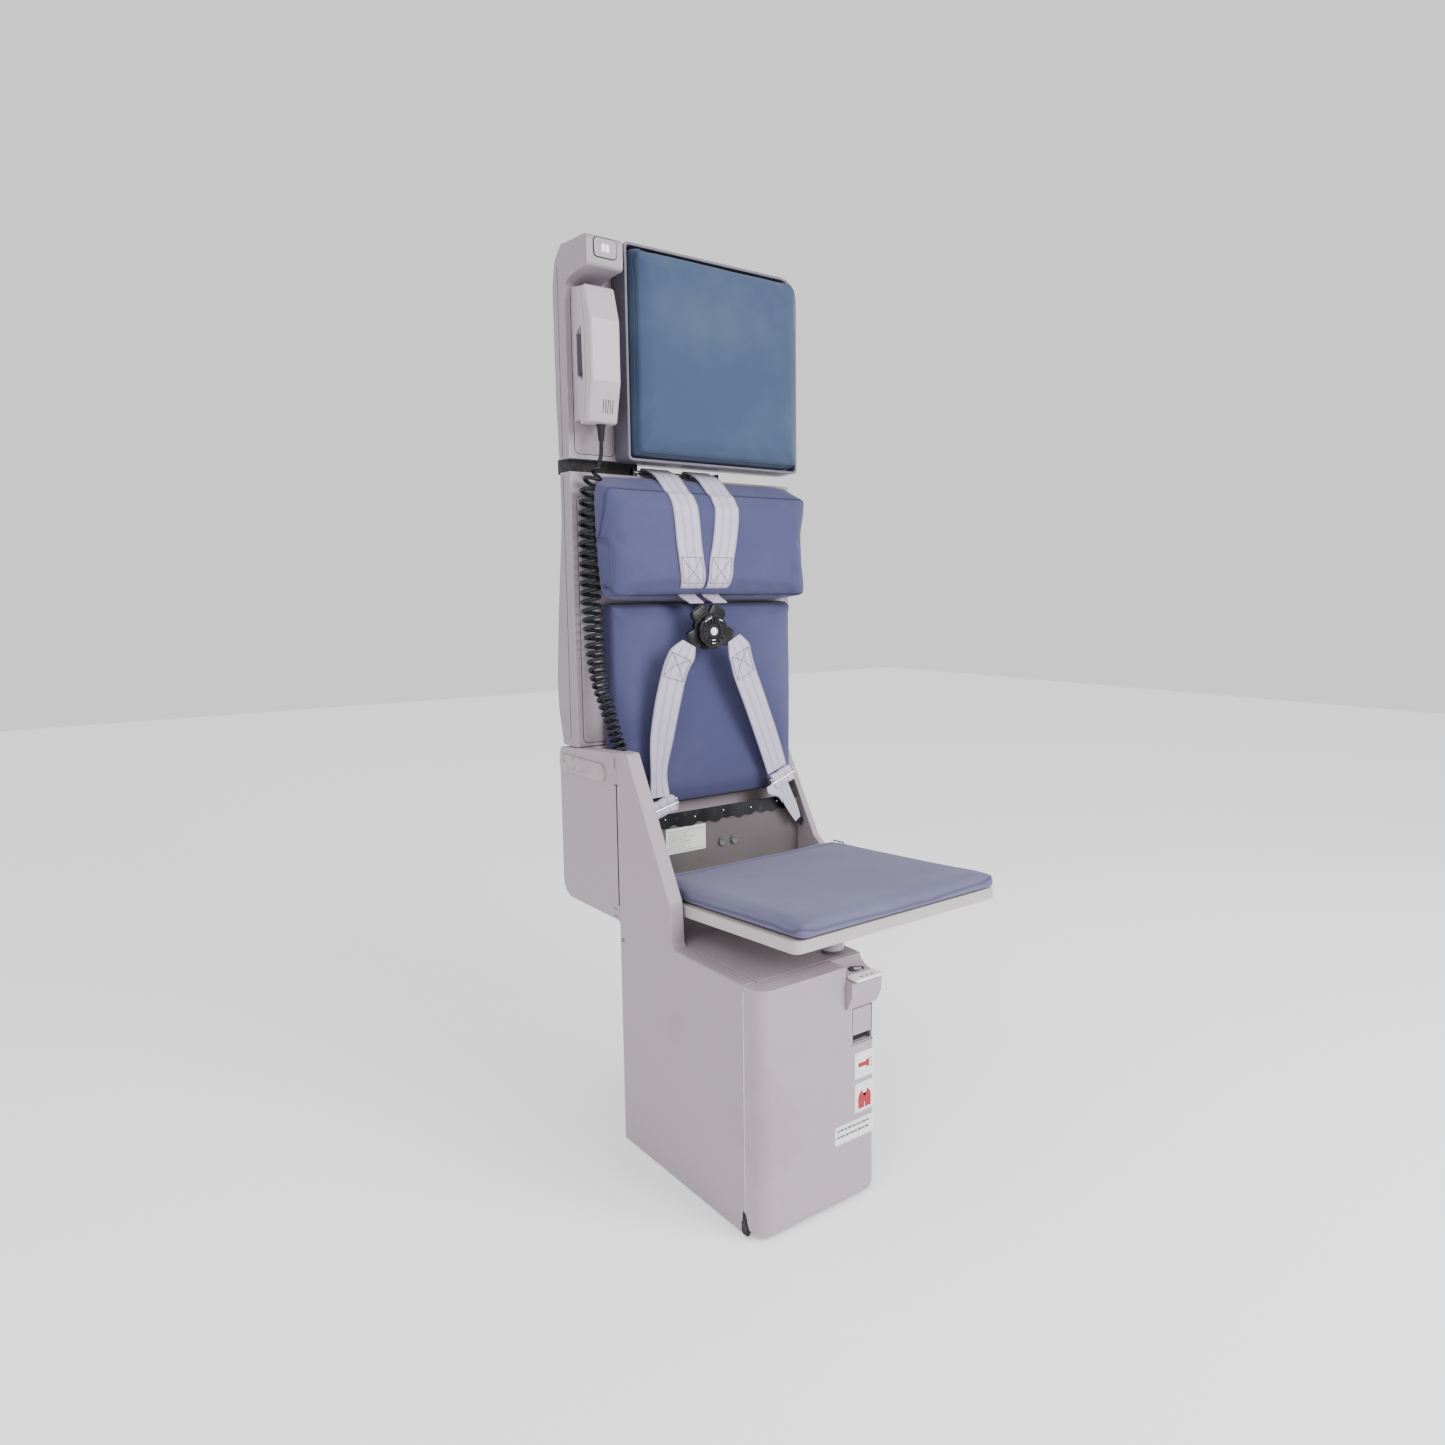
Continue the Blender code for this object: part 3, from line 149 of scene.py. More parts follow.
def grain_group():
    """Fine pebbled texture of a moulded or woven surface, as a normal."""
    group, ins, outs = new_group("fine_grain", [("Scale", "Float", 900), ("Depth", "Float", 0.0002),
                                                ("Strength", "Float", 0.3)],
                                 [("Normal", "Vector"), ("Height", "Float")])
    where = add_node(group, "ShaderNodeTexCoord")
    noise = add_node(group, "ShaderNodeTexNoise", {"Vector": where.outputs["Object"], "Scale": ins["Scale"],
                                                   "Detail": 3.0})
    bump = add_node(group, "ShaderNodeBump", {"Height": noise.outputs["Fac"], "Distance": ins["Depth"],
                                              "Strength": ins["Strength"]})
    group.links.new(bump.outputs["Normal"], outs.inputs["Normal"])
    group.links.new(noise.outputs["Fac"], outs.inputs["Height"])
    return group


def mottle_group():
    """Uneven colour from handling and age: a clean and a soiled colour mixed by broad cloudy noise."""
    group, ins, outs = new_group("mottle", [("Clean", "Color", (1, 1, 1, 1)), ("Soiled", "Color", (0, 0, 0, 1)),
                                            ("Scale", "Float", 6), ("Cover", "Float", 0.5), ("Soft", "Float", 0.2)],
                                 [("Color", "Color"), ("Mask", "Float")])
    where = add_node(group, "ShaderNodeTexCoord")
    noise = add_node(group, "ShaderNodeTexNoise", {"Vector": where.outputs["Object"], "Scale": ins["Scale"],
                                                   "Detail": 6.0, "Roughness": 0.6})
    low = add_node(group, "ShaderNodeMath", {0: 1.0, 1: ins["Cover"]}, operation="SUBTRACT")
    high = add_node(group, "ShaderNodeMath", {0: low.outputs[0], 1: ins["Soft"]}, operation="ADD")
    mask = add_node(group, "ShaderNodeMapRange", {"Value": noise.outputs["Fac"], "From Min": low.outputs[0],
                                                  "From Max": high.outputs[0]})
    mix = add_node(group, "ShaderNodeMix", {"Factor": mask.outputs["Result"], 6: ins["Clean"], 7: ins["Soiled"]},
                   data_type="RGBA")
    group.links.new(mix.outputs[2], outs.inputs["Color"])
    group.links.new(mask.outputs["Result"], outs.inputs["Mask"])
    return group


GRAIN = grain_group()
MOTTLE = mottle_group()


def mottled(tree, clean, soiled, scale, cover=0.5, soft=0.2):
    """A clean and a soiled colour in clouds, with the mask between them."""
    return add_node(tree, "ShaderNodeGroup", {"Clean": clean, "Soiled": soiled, "Scale": scale, "Cover": cover,
                                              "Soft": soft}, node_tree=MOTTLE)


def mottled_finish(name, clean, soiled, scale, cover=0.5, soft=0.2, gloss=None, grain=None, **values):
    """A finish in two clouded colours; gloss is its two roughnesses, and grain its scale, depth and strength."""
    finish, tree, shader = new_finish(name, **values)
    tone = mottled(tree, clean, soiled, scale, cover, soft)
    tree.links.new(tone.outputs["Color"], shader.inputs["Base Color"])
    if gloss:
        rough = add_node(tree, "ShaderNodeMapRange", {"Value": tone.outputs["Mask"], "To Min": gloss[0],
                                                      "To Max": gloss[1]})
        tree.links.new(rough.outputs["Result"], shader.inputs["Roughness"])
    if grain:
        skin = add_node(tree, "ShaderNodeGroup", dict(zip(("Scale", "Depth", "Strength"), grain)), node_tree=GRAIN)
        tree.links.new(skin.outputs["Normal"], shader.inputs["Normal"])
    return finish


def smooth_route(points, per_span):
    """Points on a smooth curve through the given ones."""
    points = [Vector(p) for p in points]
    ends = [2 * points[0] - points[1], *points, 2 * points[-1] - points[-2]]
    found = []
    for a, b, c, d in zip(ends, ends[1:], ends[2:], ends[3:]):
        for k in range(per_span):
            t = k / per_span
            found.append(0.5 * (2 * b + (c - a) * t + (2 * a - 5 * b + 4 * c - d) * t * t
                                + (3 * b - a - 3 * c + d) * t ** 3))
    return [*found, points[-1]]


def cable(name, points, radius, finish, taper=None):
    """A round cable on one open spline."""
    data = bpy.data.curves.new(name, "CURVE")
    data.dimensions = "3D"
    data.bevel_depth = radius
    data.bevel_resolution = 3
    data.use_fill_caps = True
    spline = data.splines.new("POLY")
    spline.points.add(len(points) - 1)
    for i, place in enumerate(points):
        spline.points[i].co = (*place, 1)
        spline.points[i].radius = taper[i] if taper else 1.0
    spline.use_smooth = True
    data.materials.append(finish)
    piece = bpy.data.objects.new(name, data)
    bpy.context.scene.collection.objects.link(piece)
    return piece


rubber = mottled_finish("cord_rubber", (0.010, 0.011, 0.014, 1), (0.045, 0.046, 0.055, 1), 60.0, 0.45, 0.3,
                        grain=(1400.0, 0.0002, 0.25), Roughness=0.42, Specular_IOR_Level=0.22, Coat_Weight=0.05,
                        Coat_Roughness=0.3)

route = smooth_route(COIL_ROUTE, ROUTE_STEPS)
spans = [0.0]
for a, b in zip(route, route[1:]):
    spans.append(spans[-1] + (b - a).length)
helix = []
side = Vector((1, 0, 0))
total = COIL_TURNS * STEPS_PER_TURN
for k in range(total + 1):
    share = k / total
    # the turns hang open at the top and crowd together towards the gland
    along = spans[-1] * ((1 + HANG) * share - HANG * share * share)
    i = max(j for j in range(len(spans)) if spans[j] <= along + 1e-9)
    i = min(i, len(route) - 2)
    part = (along - spans[i]) / (spans[i + 1] - spans[i])
    centre = route[i].lerp(route[i + 1], part)
    ahead = (route[i + 1] - route[i]).normalized()
    side = (side - ahead * side.dot(ahead)).normalized()
    other = ahead.cross(side)
    at = (i + part) / ROUTE_STEPS
    low = min(int(at), len(COIL_SIZES) - 2)
    size = COIL_R * (COIL_SIZES[low] + (COIL_SIZES[low + 1] - COIL_SIZES[low]) * (at - low)) - CORD_R
    ease = min(1.0, k / STEPS_PER_TURN, (total - k) / STEPS_PER_TURN)
    turn = math.tau * k / STEPS_PER_TURN
    wobble = 1 + 0.05 * math.sin(0.37 * k)
    helix.append(centre + (side * math.cos(turn) + other * math.sin(turn)) * size * max(ease, 0.05) * wobble)
lead = smooth_route(LEAD_ROUTE, 5)
line = lead[:-1] + helix
handset_cord = cable("handset_cord", line, CORD_R, rubber)
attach(handset_cord, "seat_frame")
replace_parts(handset_cord, "curly_cord", "handset_lead")

# ---- Stowage box and left side panel ------------------------------------------------------------------------------
# The box under the seat, its shelf and the tall side panel are moulded from a warm grey thermoplastic sheet with a
# fine pebbled face; the panel is screwed to the box. Years of trolleys and shoes have rubbed their edges pale.
SHELL_CLEAN = (0.315, 0.262, 0.290, 1)
SHELL_SOILED = (0.225, 0.183, 0.203, 1)
SHELL_RUBBED = (0.50, 0.465, 0.445, 1)


def rubbed_edge_group():
    """Mask of the outward edges, where the surface within reach turns away, broken up by noise."""
    group, ins, outs = new_group("rubbed_edges", [("Color", "Color", (1, 1, 1, 1)), ("Rubbed", "Color", (1, 1, 1, 1)),
                                                  ("Reach", "Float", 0.003), ("Amount", "Float", 0.6),
                                                  ("Scale", "Float", 60)],
                                 [("Color", "Color"), ("Mask", "Float")])
    where = add_node(group, "ShaderNodeTexCoord")
    flat = add_node(group, "ShaderNodeNewGeometry")
    rounded = add_node(group, "ShaderNodeBevel", {"Radius": ins["Reach"]}, samples=3)
    match = add_node(group, "ShaderNodeVectorMath", {0: flat.outputs["Normal"], 1: rounded.outputs["Normal"]},
                     operation="DOT_PRODUCT")
    edge = add_node(group, "ShaderNodeMapRange", {"Value": match.outputs["Value"], "From Min": 0.985,
                                                  "From Max": 0.86})
    noise = add_node(group, "ShaderNodeTexNoise", {"Vector": where.outputs["Object"], "Scale": ins["Scale"],
                                                   "Detail": 4.0})
    broken = add_node(group, "ShaderNodeMapRange", {"Value": noise.outputs["Fac"], "From Min": 0.38,
                                                    "From Max": 0.62})
    both = add_node(group, "ShaderNodeMath", {0: edge.outputs["Result"], 1: broken.outputs["Result"]},
                    operation="MULTIPLY")
    mask = add_node(group, "ShaderNodeMath", {0: both.outputs[0], 1: ins["Amount"]}, operation="MULTIPLY")
    mix = add_node(group, "ShaderNodeMix", {"Factor": mask.outputs[0], 6: ins["Color"], 7: ins["Rubbed"]},
                   data_type="RGBA")
    group.links.new(mix.outputs[2], outs.inputs["Color"])
    group.links.new(mask.outputs[0], outs.inputs["Mask"])
    return group


RUBBED = rubbed_edge_group()


def moulded_plastic(name, clean, soiled, rubbed, roughness, cloud=5.0, cover=0.46, rub=0.55, pebble=1100.0,
                    depth=0.35):
    """Sheet plastic: cloudy soiling, pale rubbed edges, a pebbled face and a gloss that varies with the soiling."""
    finish, tree, shader = new_finish(name)
    clouds = mottled(tree, clean, soiled, cloud, cover, 0.4)
    specks = mottled(tree, clouds.outputs["Color"], soiled, 420.0, 0.40, 0.25)
    edges = add_node(tree, "ShaderNodeGroup", {"Color": specks.outputs["Color"], "Rubbed": rubbed, "Amount": rub},
                     node_tree=RUBBED)
    gloss = add_node(tree, "ShaderNodeMapRange", {"Value": clouds.outputs["Mask"], "To Min": roughness,
                                                  "To Max": min(roughness + 0.14, 1.0)})
    pebbles = add_node(tree, "ShaderNodeGroup", {"Scale": pebble, "Depth": 0.0002, "Strength": depth}, node_tree=GRAIN)
    tree.links.new(edges.outputs["Color"], shader.inputs["Base Color"])
    tree.links.new(gloss.outputs["Result"], shader.inputs["Roughness"])
    tree.links.new(pebbles.outputs["Normal"], shader.inputs["Normal"])
    return finish


def soften(piece, width, segments, degrees=None):
    """A bevel on the piece's edges, from an angle up where one is given."""
    step = piece.modifiers.new("soft", "BEVEL")
    step.width = width
    step.segments = segments
    if degrees:
        step.limit_method = "ANGLE"
        step.angle_limit = math.radians(degrees)


def dress(finish, *nodes, round_over=0.0009, flat=False):
    """Gives frame nodes their finish, and rounds their sharp edges over where asked."""
    for name in nodes:
        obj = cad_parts[name]
        for socket in obj.material_slots:
            socket.material = finish
        obj.data.polygons.foreach_set("use_smooth", [not flat] * len(obj.data.polygons))
        if flat:
            continue
        weld = obj.modifiers.new("weld", "WELD")
        weld.merge_threshold = 0.00001
        if round_over:
            flats = obj.modifiers.new("flats", "DECIMATE")
            flats.decimate_type = "DISSOLVE"
            flats.angle_limit = math.radians(0.8)
            soften(obj, round_over, 2, 32)
        normals = obj.modifiers.new("normals", "WEIGHTED_NORMAL")
        normals.keep_sharp = False
        normals.weight = 70


shell_plastic = moulded_plastic("shell_plastic", SHELL_CLEAN, SHELL_SOILED, SHELL_RUBBED, 0.46)
dress(shell_plastic, "base_box_shell", "left_side_panel", "stowage_shelf")


def start_block(name, low, high):
    """A block between two corners, selected and ready to be shaped."""
    bpy.ops.object.select_all(action="DESELECT")
    bpy.ops.mesh.primitive_cube_add(size=1, location=[(a + b) / 2 for a, b in zip(low, high)])
    piece = bpy.context.object
    piece.name = name
    piece.data.name = name
    piece.scale = [abs(b - a) for a, b in zip(low, high)]
    bpy.ops.object.transform_apply(location=True, rotation=True, scale=True)
    return piece


def choose(piece, kind, test):
    """Opens the piece for editing with only the edges or faces that pass the test selected."""
    bpy.ops.object.select_all(action="DESELECT")
    piece.select_set(True)
    bpy.context.view_layer.objects.active = piece
    bpy.ops.object.mode_set(mode="EDIT")
    bpy.ops.mesh.select_mode(type=kind)
    bpy.ops.mesh.select_all(action="DESELECT")
    bm = bmesh.from_edit_mesh(piece.data)
    for part in (bm.edges if kind == "EDGE" else bm.faces):
        part.select = bool(test(part))
    bm.select_flush_mode()
    bmesh.update_edit_mesh(piece.data)


def done():
    bpy.ops.object.mode_set(mode="OBJECT")


def apply_all(piece):
    """Applies every modifier in order."""
    bpy.ops.object.select_all(action="DESELECT")
    piece.select_set(True)
    bpy.context.view_layer.objects.active = piece
    for step in list(piece.modifiers):
        bpy.ops.object.modifier_apply(modifier=step.name)


def fit_out(piece, finish, body, smooth=35):
    """Last steps of a new piece: outward faces, smooth shading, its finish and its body."""
    apply_all(piece)
    bpy.ops.object.mode_set(mode="EDIT")
    bpy.ops.mesh.select_all(action="SELECT")
    bpy.ops.mesh.normals_make_consistent(inside=False)
    bpy.ops.object.mode_set(mode="OBJECT")
    bpy.ops.object.shade_smooth_by_angle(angle=math.radians(smooth))
    piece.data.materials.clear()
    piece.data.materials.append(finish)
    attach(piece, body)
    return piece


def along(edge, axis):
    """True for an edge that runs along axis 0, 1 or 2."""
    run = edge.verts[1].co - edge.verts[0].co
    return abs(run[axis]) > 0.99 * run.length


def rounded_plate(name, low, high, axis, radius, lip=0.0, segments=6):
    """A plate with its corners rounded in the plane square to axis, and a small round on its outer edges."""
    piece = start_block(name, low, high)
    choose(piece, "EDGE", lambda e: along(e, axis))
    bpy.ops.mesh.bevel(offset=radius, segments=segments, affect="EDGES")
    done()
    if lip:
        soften(piece, lip, 2, 60)
        apply_all(piece)
    return piece


panel_low, panel_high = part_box("left_side_panel")
seam_y = panel_high[1]
face_x = panel_low[0]
shadow = mottled_finish("seam_shadow", (0.012, 0.012, 0.013, 1), (0.04, 0.036, 0.036, 1), 90.0, Roughness=0.85)


def shadow_plate(name, low, high, axis, radius, lip=0.0, segments=6, body="seat_frame"):
    """A rounded plate in the darkest finish: painted shade that stands for a gap or a groove."""
    return fit_out(rounded_plate(name, low, high, axis, radius, lip, segments), shadow, body)


# Painted shade: thin dark plates in the gaps and steps of the seam where the side panel meets the box.
SEAM_SLITS = [("seam_gap_shade_long", 0.0000, 0.0022, 0.397, 0.596), ("seam_gap_shade_top", -0.0040, 0.0016, 0.622, 0.640),
              ("seam_step_top", -0.0005, 0.0120, 0.5950, 0.5968), ("seam_step_low", -0.0120, 0.0110, 0.3890, 0.3904),
              ("seam_foot", -0.0110, 0.0100, 0.3770, 0.3784)]
for name, start, width, low, high in SEAM_SLITS:
    shadow_plate(name, (face_x - 0.0002, seam_y - start - width / 2, low),
                 (face_x + 0.0030, seam_y - start + width / 2, high), 0, 0.0004, segments=2)

# ---- Plugged screw hole ----------------------------------------------------------------------------------------------
# At the back of the side panel a screw hole is closed by a round of dark plastic, set flush in the plastic sheet.
# Its face is dished a little, as a pressed-in plug's is.
ACROSS = (0, math.pi / 2, 0)  # turns a cylinder's axis to run across the seat
FRONT_TO_BACK = (math.pi / 2, 0, 0)


def cylinder(name, vertices, radius, depth, place, turn):
    """A cylinder ready to be shaped."""
    bpy.ops.object.select_all(action="DESELECT")
    bpy.ops.mesh.primitive_cylinder_add(vertices=vertices, radius=radius, depth=depth, location=place, rotation=turn)
    piece = bpy.context.object
    piece.name = name
    bpy.ops.object.transform_apply(location=True, rotation=True, scale=True)
    return piece


plug = cylinder("screw_hole_plug", 20, 0.0032, 0.0020, (face_x + 0.0002, 0.105, 0.343), ACROSS)
choose(plug, "FACE", lambda f: f.normal.x < -0.9)
bpy.ops.mesh.inset(thickness=0.0009)
bpy.ops.transform.translate(value=(0.0009, 0, 0))
done()
fit_out(plug, shadow, "seat_frame")

# ---- Rear housing, side cover and side wall -------------------------------------------------------------------------
# The housing that carries the backrest's foot, closed by a flat cover on the left and a thin wall on the right.
# A strip of grey foam tape is stuck on the cover where the seat used to rub against the cabin lining.
dress(shell_plastic, "rear_housing", flat=True)
dress(shell_plastic, "rear_side_cover", "right_side_wall")
# The lower plate under the backrest is coloured far darker than the shells: painted shade for the shade the backrest
# casts on it.
shaded_plate_plastic = moulded_plastic("shaded_plate_plastic", (0.115, 0.098, 0.100, 1), (0.050, 0.042, 0.042, 1),
                                (0.24, 0.22, 0.21, 1), 0.5, cover=0.52)
dress(shaded_plate_plastic, "backrest_lower_plate")
foam = mottled_finish("foam_tape", (0.37, 0.32, 0.335, 1), (0.26, 0.215, 0.23, 1), 55.0, grain=(260.0, 0.0008, 0.8),
                      Roughness=0.9)
tape = rounded_plate("foam_tape", (face_x - 0.0026, 0.1500, 0.594), (face_x + 0.0005, 0.3120, 0.625), 0, 0.0150,
                     0.0012, 8)
fit_out(tape, foam, "seat_frame")

# ---- Fittings on the lower plate ------------------------------------------------------------------------------------
# Under the backrest: a black rail with a hem of black fabric hanging from it, held by bright rivets, two rubber
# bumpers that the folded pan would touch, and a paper data card whose lines say nothing.
plate_low, plate_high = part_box("backrest_lower_plate")
rail_black = mottled_finish("rail_black", (0.012, 0.012, 0.014, 1), (0.07, 0.07, 0.075, 1), 70.0, 0.42, 0.3,
                            gloss=(0.34, 0.7), Metallic=0.4)
dress(rail_black, "backrest_lower_rail", "reel_frame", "reel_spool", "lap_anchor_left", "lap_anchor_right",
      "tongue_shoulder_left", "tongue_shoulder_right", "tongue_lap_left", "tongue_lap_right", round_over=0.0005)
bright_steel = mottled_finish("bright_steel", (0.62, 0.62, 0.63, 1), (0.36, 0.35, 0.34, 1), 45.0, 0.4, 0.4,
                              gloss=(0.22, 0.48), Metallic=1.0)
dress(bright_steel, "wall_bracket_lower", "wall_bracket_upper", "pan_hinge_arm_left", "pan_hinge_arm_right",
      round_over=0.0006)
dress(bright_steel, "door_hinge_pin", "pan_hinge_shaft", "web_guide_bar", round_over=0)

hem = start_block("black_hem", (-0.165, plate_low[1] - 0.0022, plate_high[2] - 0.013),
                  (0.196, plate_low[1] - 0.0006, plate_high[2] + 0.0100))
choose(hem, "EDGE", lambda e: along(e, 0))
bpy.ops.mesh.subdivide(number_cuts=60)
done()
for vert in hem.data.vertices:
    if vert.co.z < plate_high[2]:
        vert.co.z += 0.0040 * math.sin(vert.co.x * 71) * math.sin(vert.co.x * 173 + 1) - 0.0015
        vert.co.y -= 0.0012 * math.sin(vert.co.x * 120) + 0.0008
fit_out(hem, rail_black, "seat_frame")
for k in range(6):
    x = -0.150 + 0.062 * k
    bpy.ops.object.select_all(action="DESELECT")
    bpy.ops.mesh.primitive_uv_sphere_add(segments=12, ring_count=8, radius=0.0022,
                                         location=(x, plate_low[1] - 0.0030, plate_high[2] - 0.002 + 0.003 * (k % 2)))
    rivet = bpy.context.object
    rivet.name = f"hem_rivet_{k + 1}"
    bpy.ops.object.transform_apply(location=True, rotation=True, scale=True)
    choose(rivet, "FACE", lambda f: True)
    bpy.ops.mesh.bisect(plane_co=(x, plate_low[1] - 0.0026, 0), plane_no=(0, 1, 0), clear_outer=True, use_fill=True)
    done()
    fit_out(rivet, bright_steel, "seat_frame")
grey_rubber = mottled_finish("grey_rubber", (0.13, 0.125, 0.13, 1), (0.06, 0.06, 0.06, 1), 200.0, Roughness=0.7)
for name, x in (("pan_bumper_left", 0.034), ("pan_bumper_right", 0.061)):
    bumper = cylinder(name, 20, 0.0078, 0.005, (x, plate_low[1] - 0.0022, 0.4460), FRONT_TO_BACK)
    choose(bumper, "FACE", lambda f: f.normal.y < -0.9)
    bpy.ops.mesh.inset(thickness=0.0022)
    bpy.ops.mesh.inset(thickness=0.0024, depth=-0.0016)
    done()
    soften(bumper, 0.0007, 2)
    fit_out(bumper, grey_rubber, "seat_frame")
card_white = mottled_finish("card_white", (0.74, 0.73, 0.70, 1), (0.50, 0.48, 0.46, 1), 40.0, 0.45, 0.4, Roughness=0.55)
ink = mottled_finish("card_ink", (0.10, 0.10, 0.11, 1), (0.25, 0.25, 0.26, 1), 300.0, Roughness=0.6)
card = rounded_plate("data_card", (-0.0850, plate_low[1] - 0.0006, 0.439), (-0.0016, plate_low[1] + 0.0001, 0.485), 1,
                     0.0012)
fit_out(card, card_white, "seat_frame")
CARD_LINES = 10
LINE_GAP = 0.0040
random.seed(7)
for k in range(CARD_LINES):
    top = 0.4795 - LINE_GAP * k
    run = 0.062 * (0.55 + 0.45 * random.random()) if 0 < k < CARD_LINES - 1 else 0.074
    line_mark = start_block(f"card_line_{k + 1}", (-0.0805, plate_low[1] - 0.00085, top - 0.0007),
                            (-0.0805 + run, plate_low[1] - 0.0004, top))
    fit_out(line_mark, ink, "seat_frame")

# ---- Headrest ----------------------------------------------------------------------------------------------------
# A foam block in a tight cover of plain-woven wool cloth, pushed into a shallow moulded tray on the upper shell.
# The cover's front panel is sewn to its side bands with a corded seam just inside the edge.
tray_plastic = moulded_plastic("tray_plastic", (0.105, 0.095, 0.125, 1), (0.055, 0.050, 0.070, 1),
                               (0.20, 0.185, 0.22, 1), 0.5)
dress(tray_plastic, "headrest_tray")
PUFF_STEPS = 12


def weave_group():
    """Plain weave on every side of a piece: threads crossing in the plane that each face lies nearest to."""
    group, ins, outs = new_group("plain_weave", [("Threads", "Float", 700), ("Depth", "Float", 0.0003),
                                                 ("Strength", "Float", 0.4)],
                                 [("Normal", "Vector"), ("Height", "Float")])
    where = add_node(group, "ShaderNodeTexCoord")
    place = add_node(group, "ShaderNodeSeparateXYZ", {0: where.outputs["Object"]})
    facing = add_node(group, "ShaderNodeSeparateXYZ", {0: where.outputs["Normal"]})
    waves, weights = [], []
    for axis in range(3):
        step = add_node(group, "ShaderNodeMath", {0: place.outputs[axis], 1: ins["Threads"]}, operation="MULTIPLY")
        angle = add_node(group, "ShaderNodeMath", {0: step.outputs[0], 1: math.pi}, operation="MULTIPLY")
        waves.append(add_node(group, "ShaderNodeMath", {0: angle.outputs[0]}, operation="SINE").outputs[0])
        weights.append(add_node(group, "ShaderNodeMath", {0: facing.outputs[axis], 1: facing.outputs[axis]},
                                operation="MULTIPLY").outputs[0])
    total = None
    for axis in range(3):
        cross = add_node(group, "ShaderNodeMath", {0: waves[axis - 2], 1: waves[axis - 1]}, operation="MULTIPLY")
        part = add_node(group, "ShaderNodeMath", {0: cross.outputs[0], 1: weights[axis]}, operation="MULTIPLY")
        if total is None:
            total = part
        else:
            total = add_node(group, "ShaderNodeMath", {0: total.outputs[0], 1: part.outputs[0]}, operation="ADD")
    height = add_node(group, "ShaderNodeMapRange", {"Value": total.outputs[0], "From Min": -1.0})
    bump = add_node(group, "ShaderNodeBump", {"Height": height.outputs["Result"], "Distance": ins["Depth"],
                                              "Strength": ins["Strength"]})
    group.links.new(bump.outputs["Normal"], outs.inputs["Normal"])
    group.links.new(height.outputs["Result"], outs.inputs["Height"])
    return group


WEAVE = weave_group()


def upholstery(name, cloth, faded, soiled, fade=0.5, threads=640.0):
    """Woven wool cloth: faded where it is leant on, soiled in clouds, with painted shade between its threads."""
    finish, tree, shader = new_finish(name, Sheen_Weight=0.14, Sheen_Roughness=0.45, Specular_IOR_Level=0.25)
    weave = add_node(tree, "ShaderNodeGroup", {"Threads": threads, "Depth": 0.0003, "Strength": 0.45}, node_tree=WEAVE)
    worn = mottled(tree, cloth, faded, 4.2, fade, 0.35)
    stain = mottled(tree, worn.outputs["Color"], soiled, 11.0, 0.36, 0.3)
    fuzz = mottled(tree, stain.outputs["Color"], faded, 520.0, 0.42, 0.25)
    # Painted shade: the cloth is darkened in the low places of the weave, between its threads.
    dark = add_node(tree, "ShaderNodeMix", {"Factor": 1.0, 6: fuzz.outputs["Color"], 7: (0.80, 0.80, 0.82, 1)},
                    data_type="RGBA", blend_type="MULTIPLY")
    threads_seen = add_node(tree, "ShaderNodeMix", {"Factor": weave.outputs["Height"], 6: dark.outputs[2],
                                                    7: fuzz.outputs["Color"]}, data_type="RGBA")
    rough = add_node(tree, "ShaderNodeMapRange", {"Value": worn.outputs["Mask"], "To Min": 0.92, "To Max": 0.78})
    tree.links.new(threads_seen.outputs[2], shader.inputs["Base Color"])
    tree.links.new(rough.outputs["Result"], shader.inputs["Roughness"])
    tree.links.new(weave.outputs["Normal"], shader.inputs["Normal"])
    return finish


def foam_block(name, low, high, shrink, upright, corners, edge):
    """A cushion's foam: a block smaller by shrink, its corners rounded in the plane square to axis upright."""
    low = Vector(low) + Vector((shrink,) * 3)
    high = Vector(high) - Vector((shrink,) * 3)
    piece = start_block(name, low, high)
    middle = (low + high) / 2
    across = [a for a in range(3) if a != upright]
    for signs, radius in corners.items():
        choose(piece, "EDGE", lambda e: along(e, upright) and all(
            ((e.verts[0].co[a] - middle[a]) > 0) == s for a, s in zip(across, signs)))
        bpy.ops.mesh.bevel(offset=radius, segments=6, affect="EDGES")
        done()
    soften(piece, edge, 3, 60)
    apply_all(piece)
    return piece


def outward(piece):
    """Every point's normal, read before any point is moved."""
    return [v.normal.copy() for v in piece.data.vertices]


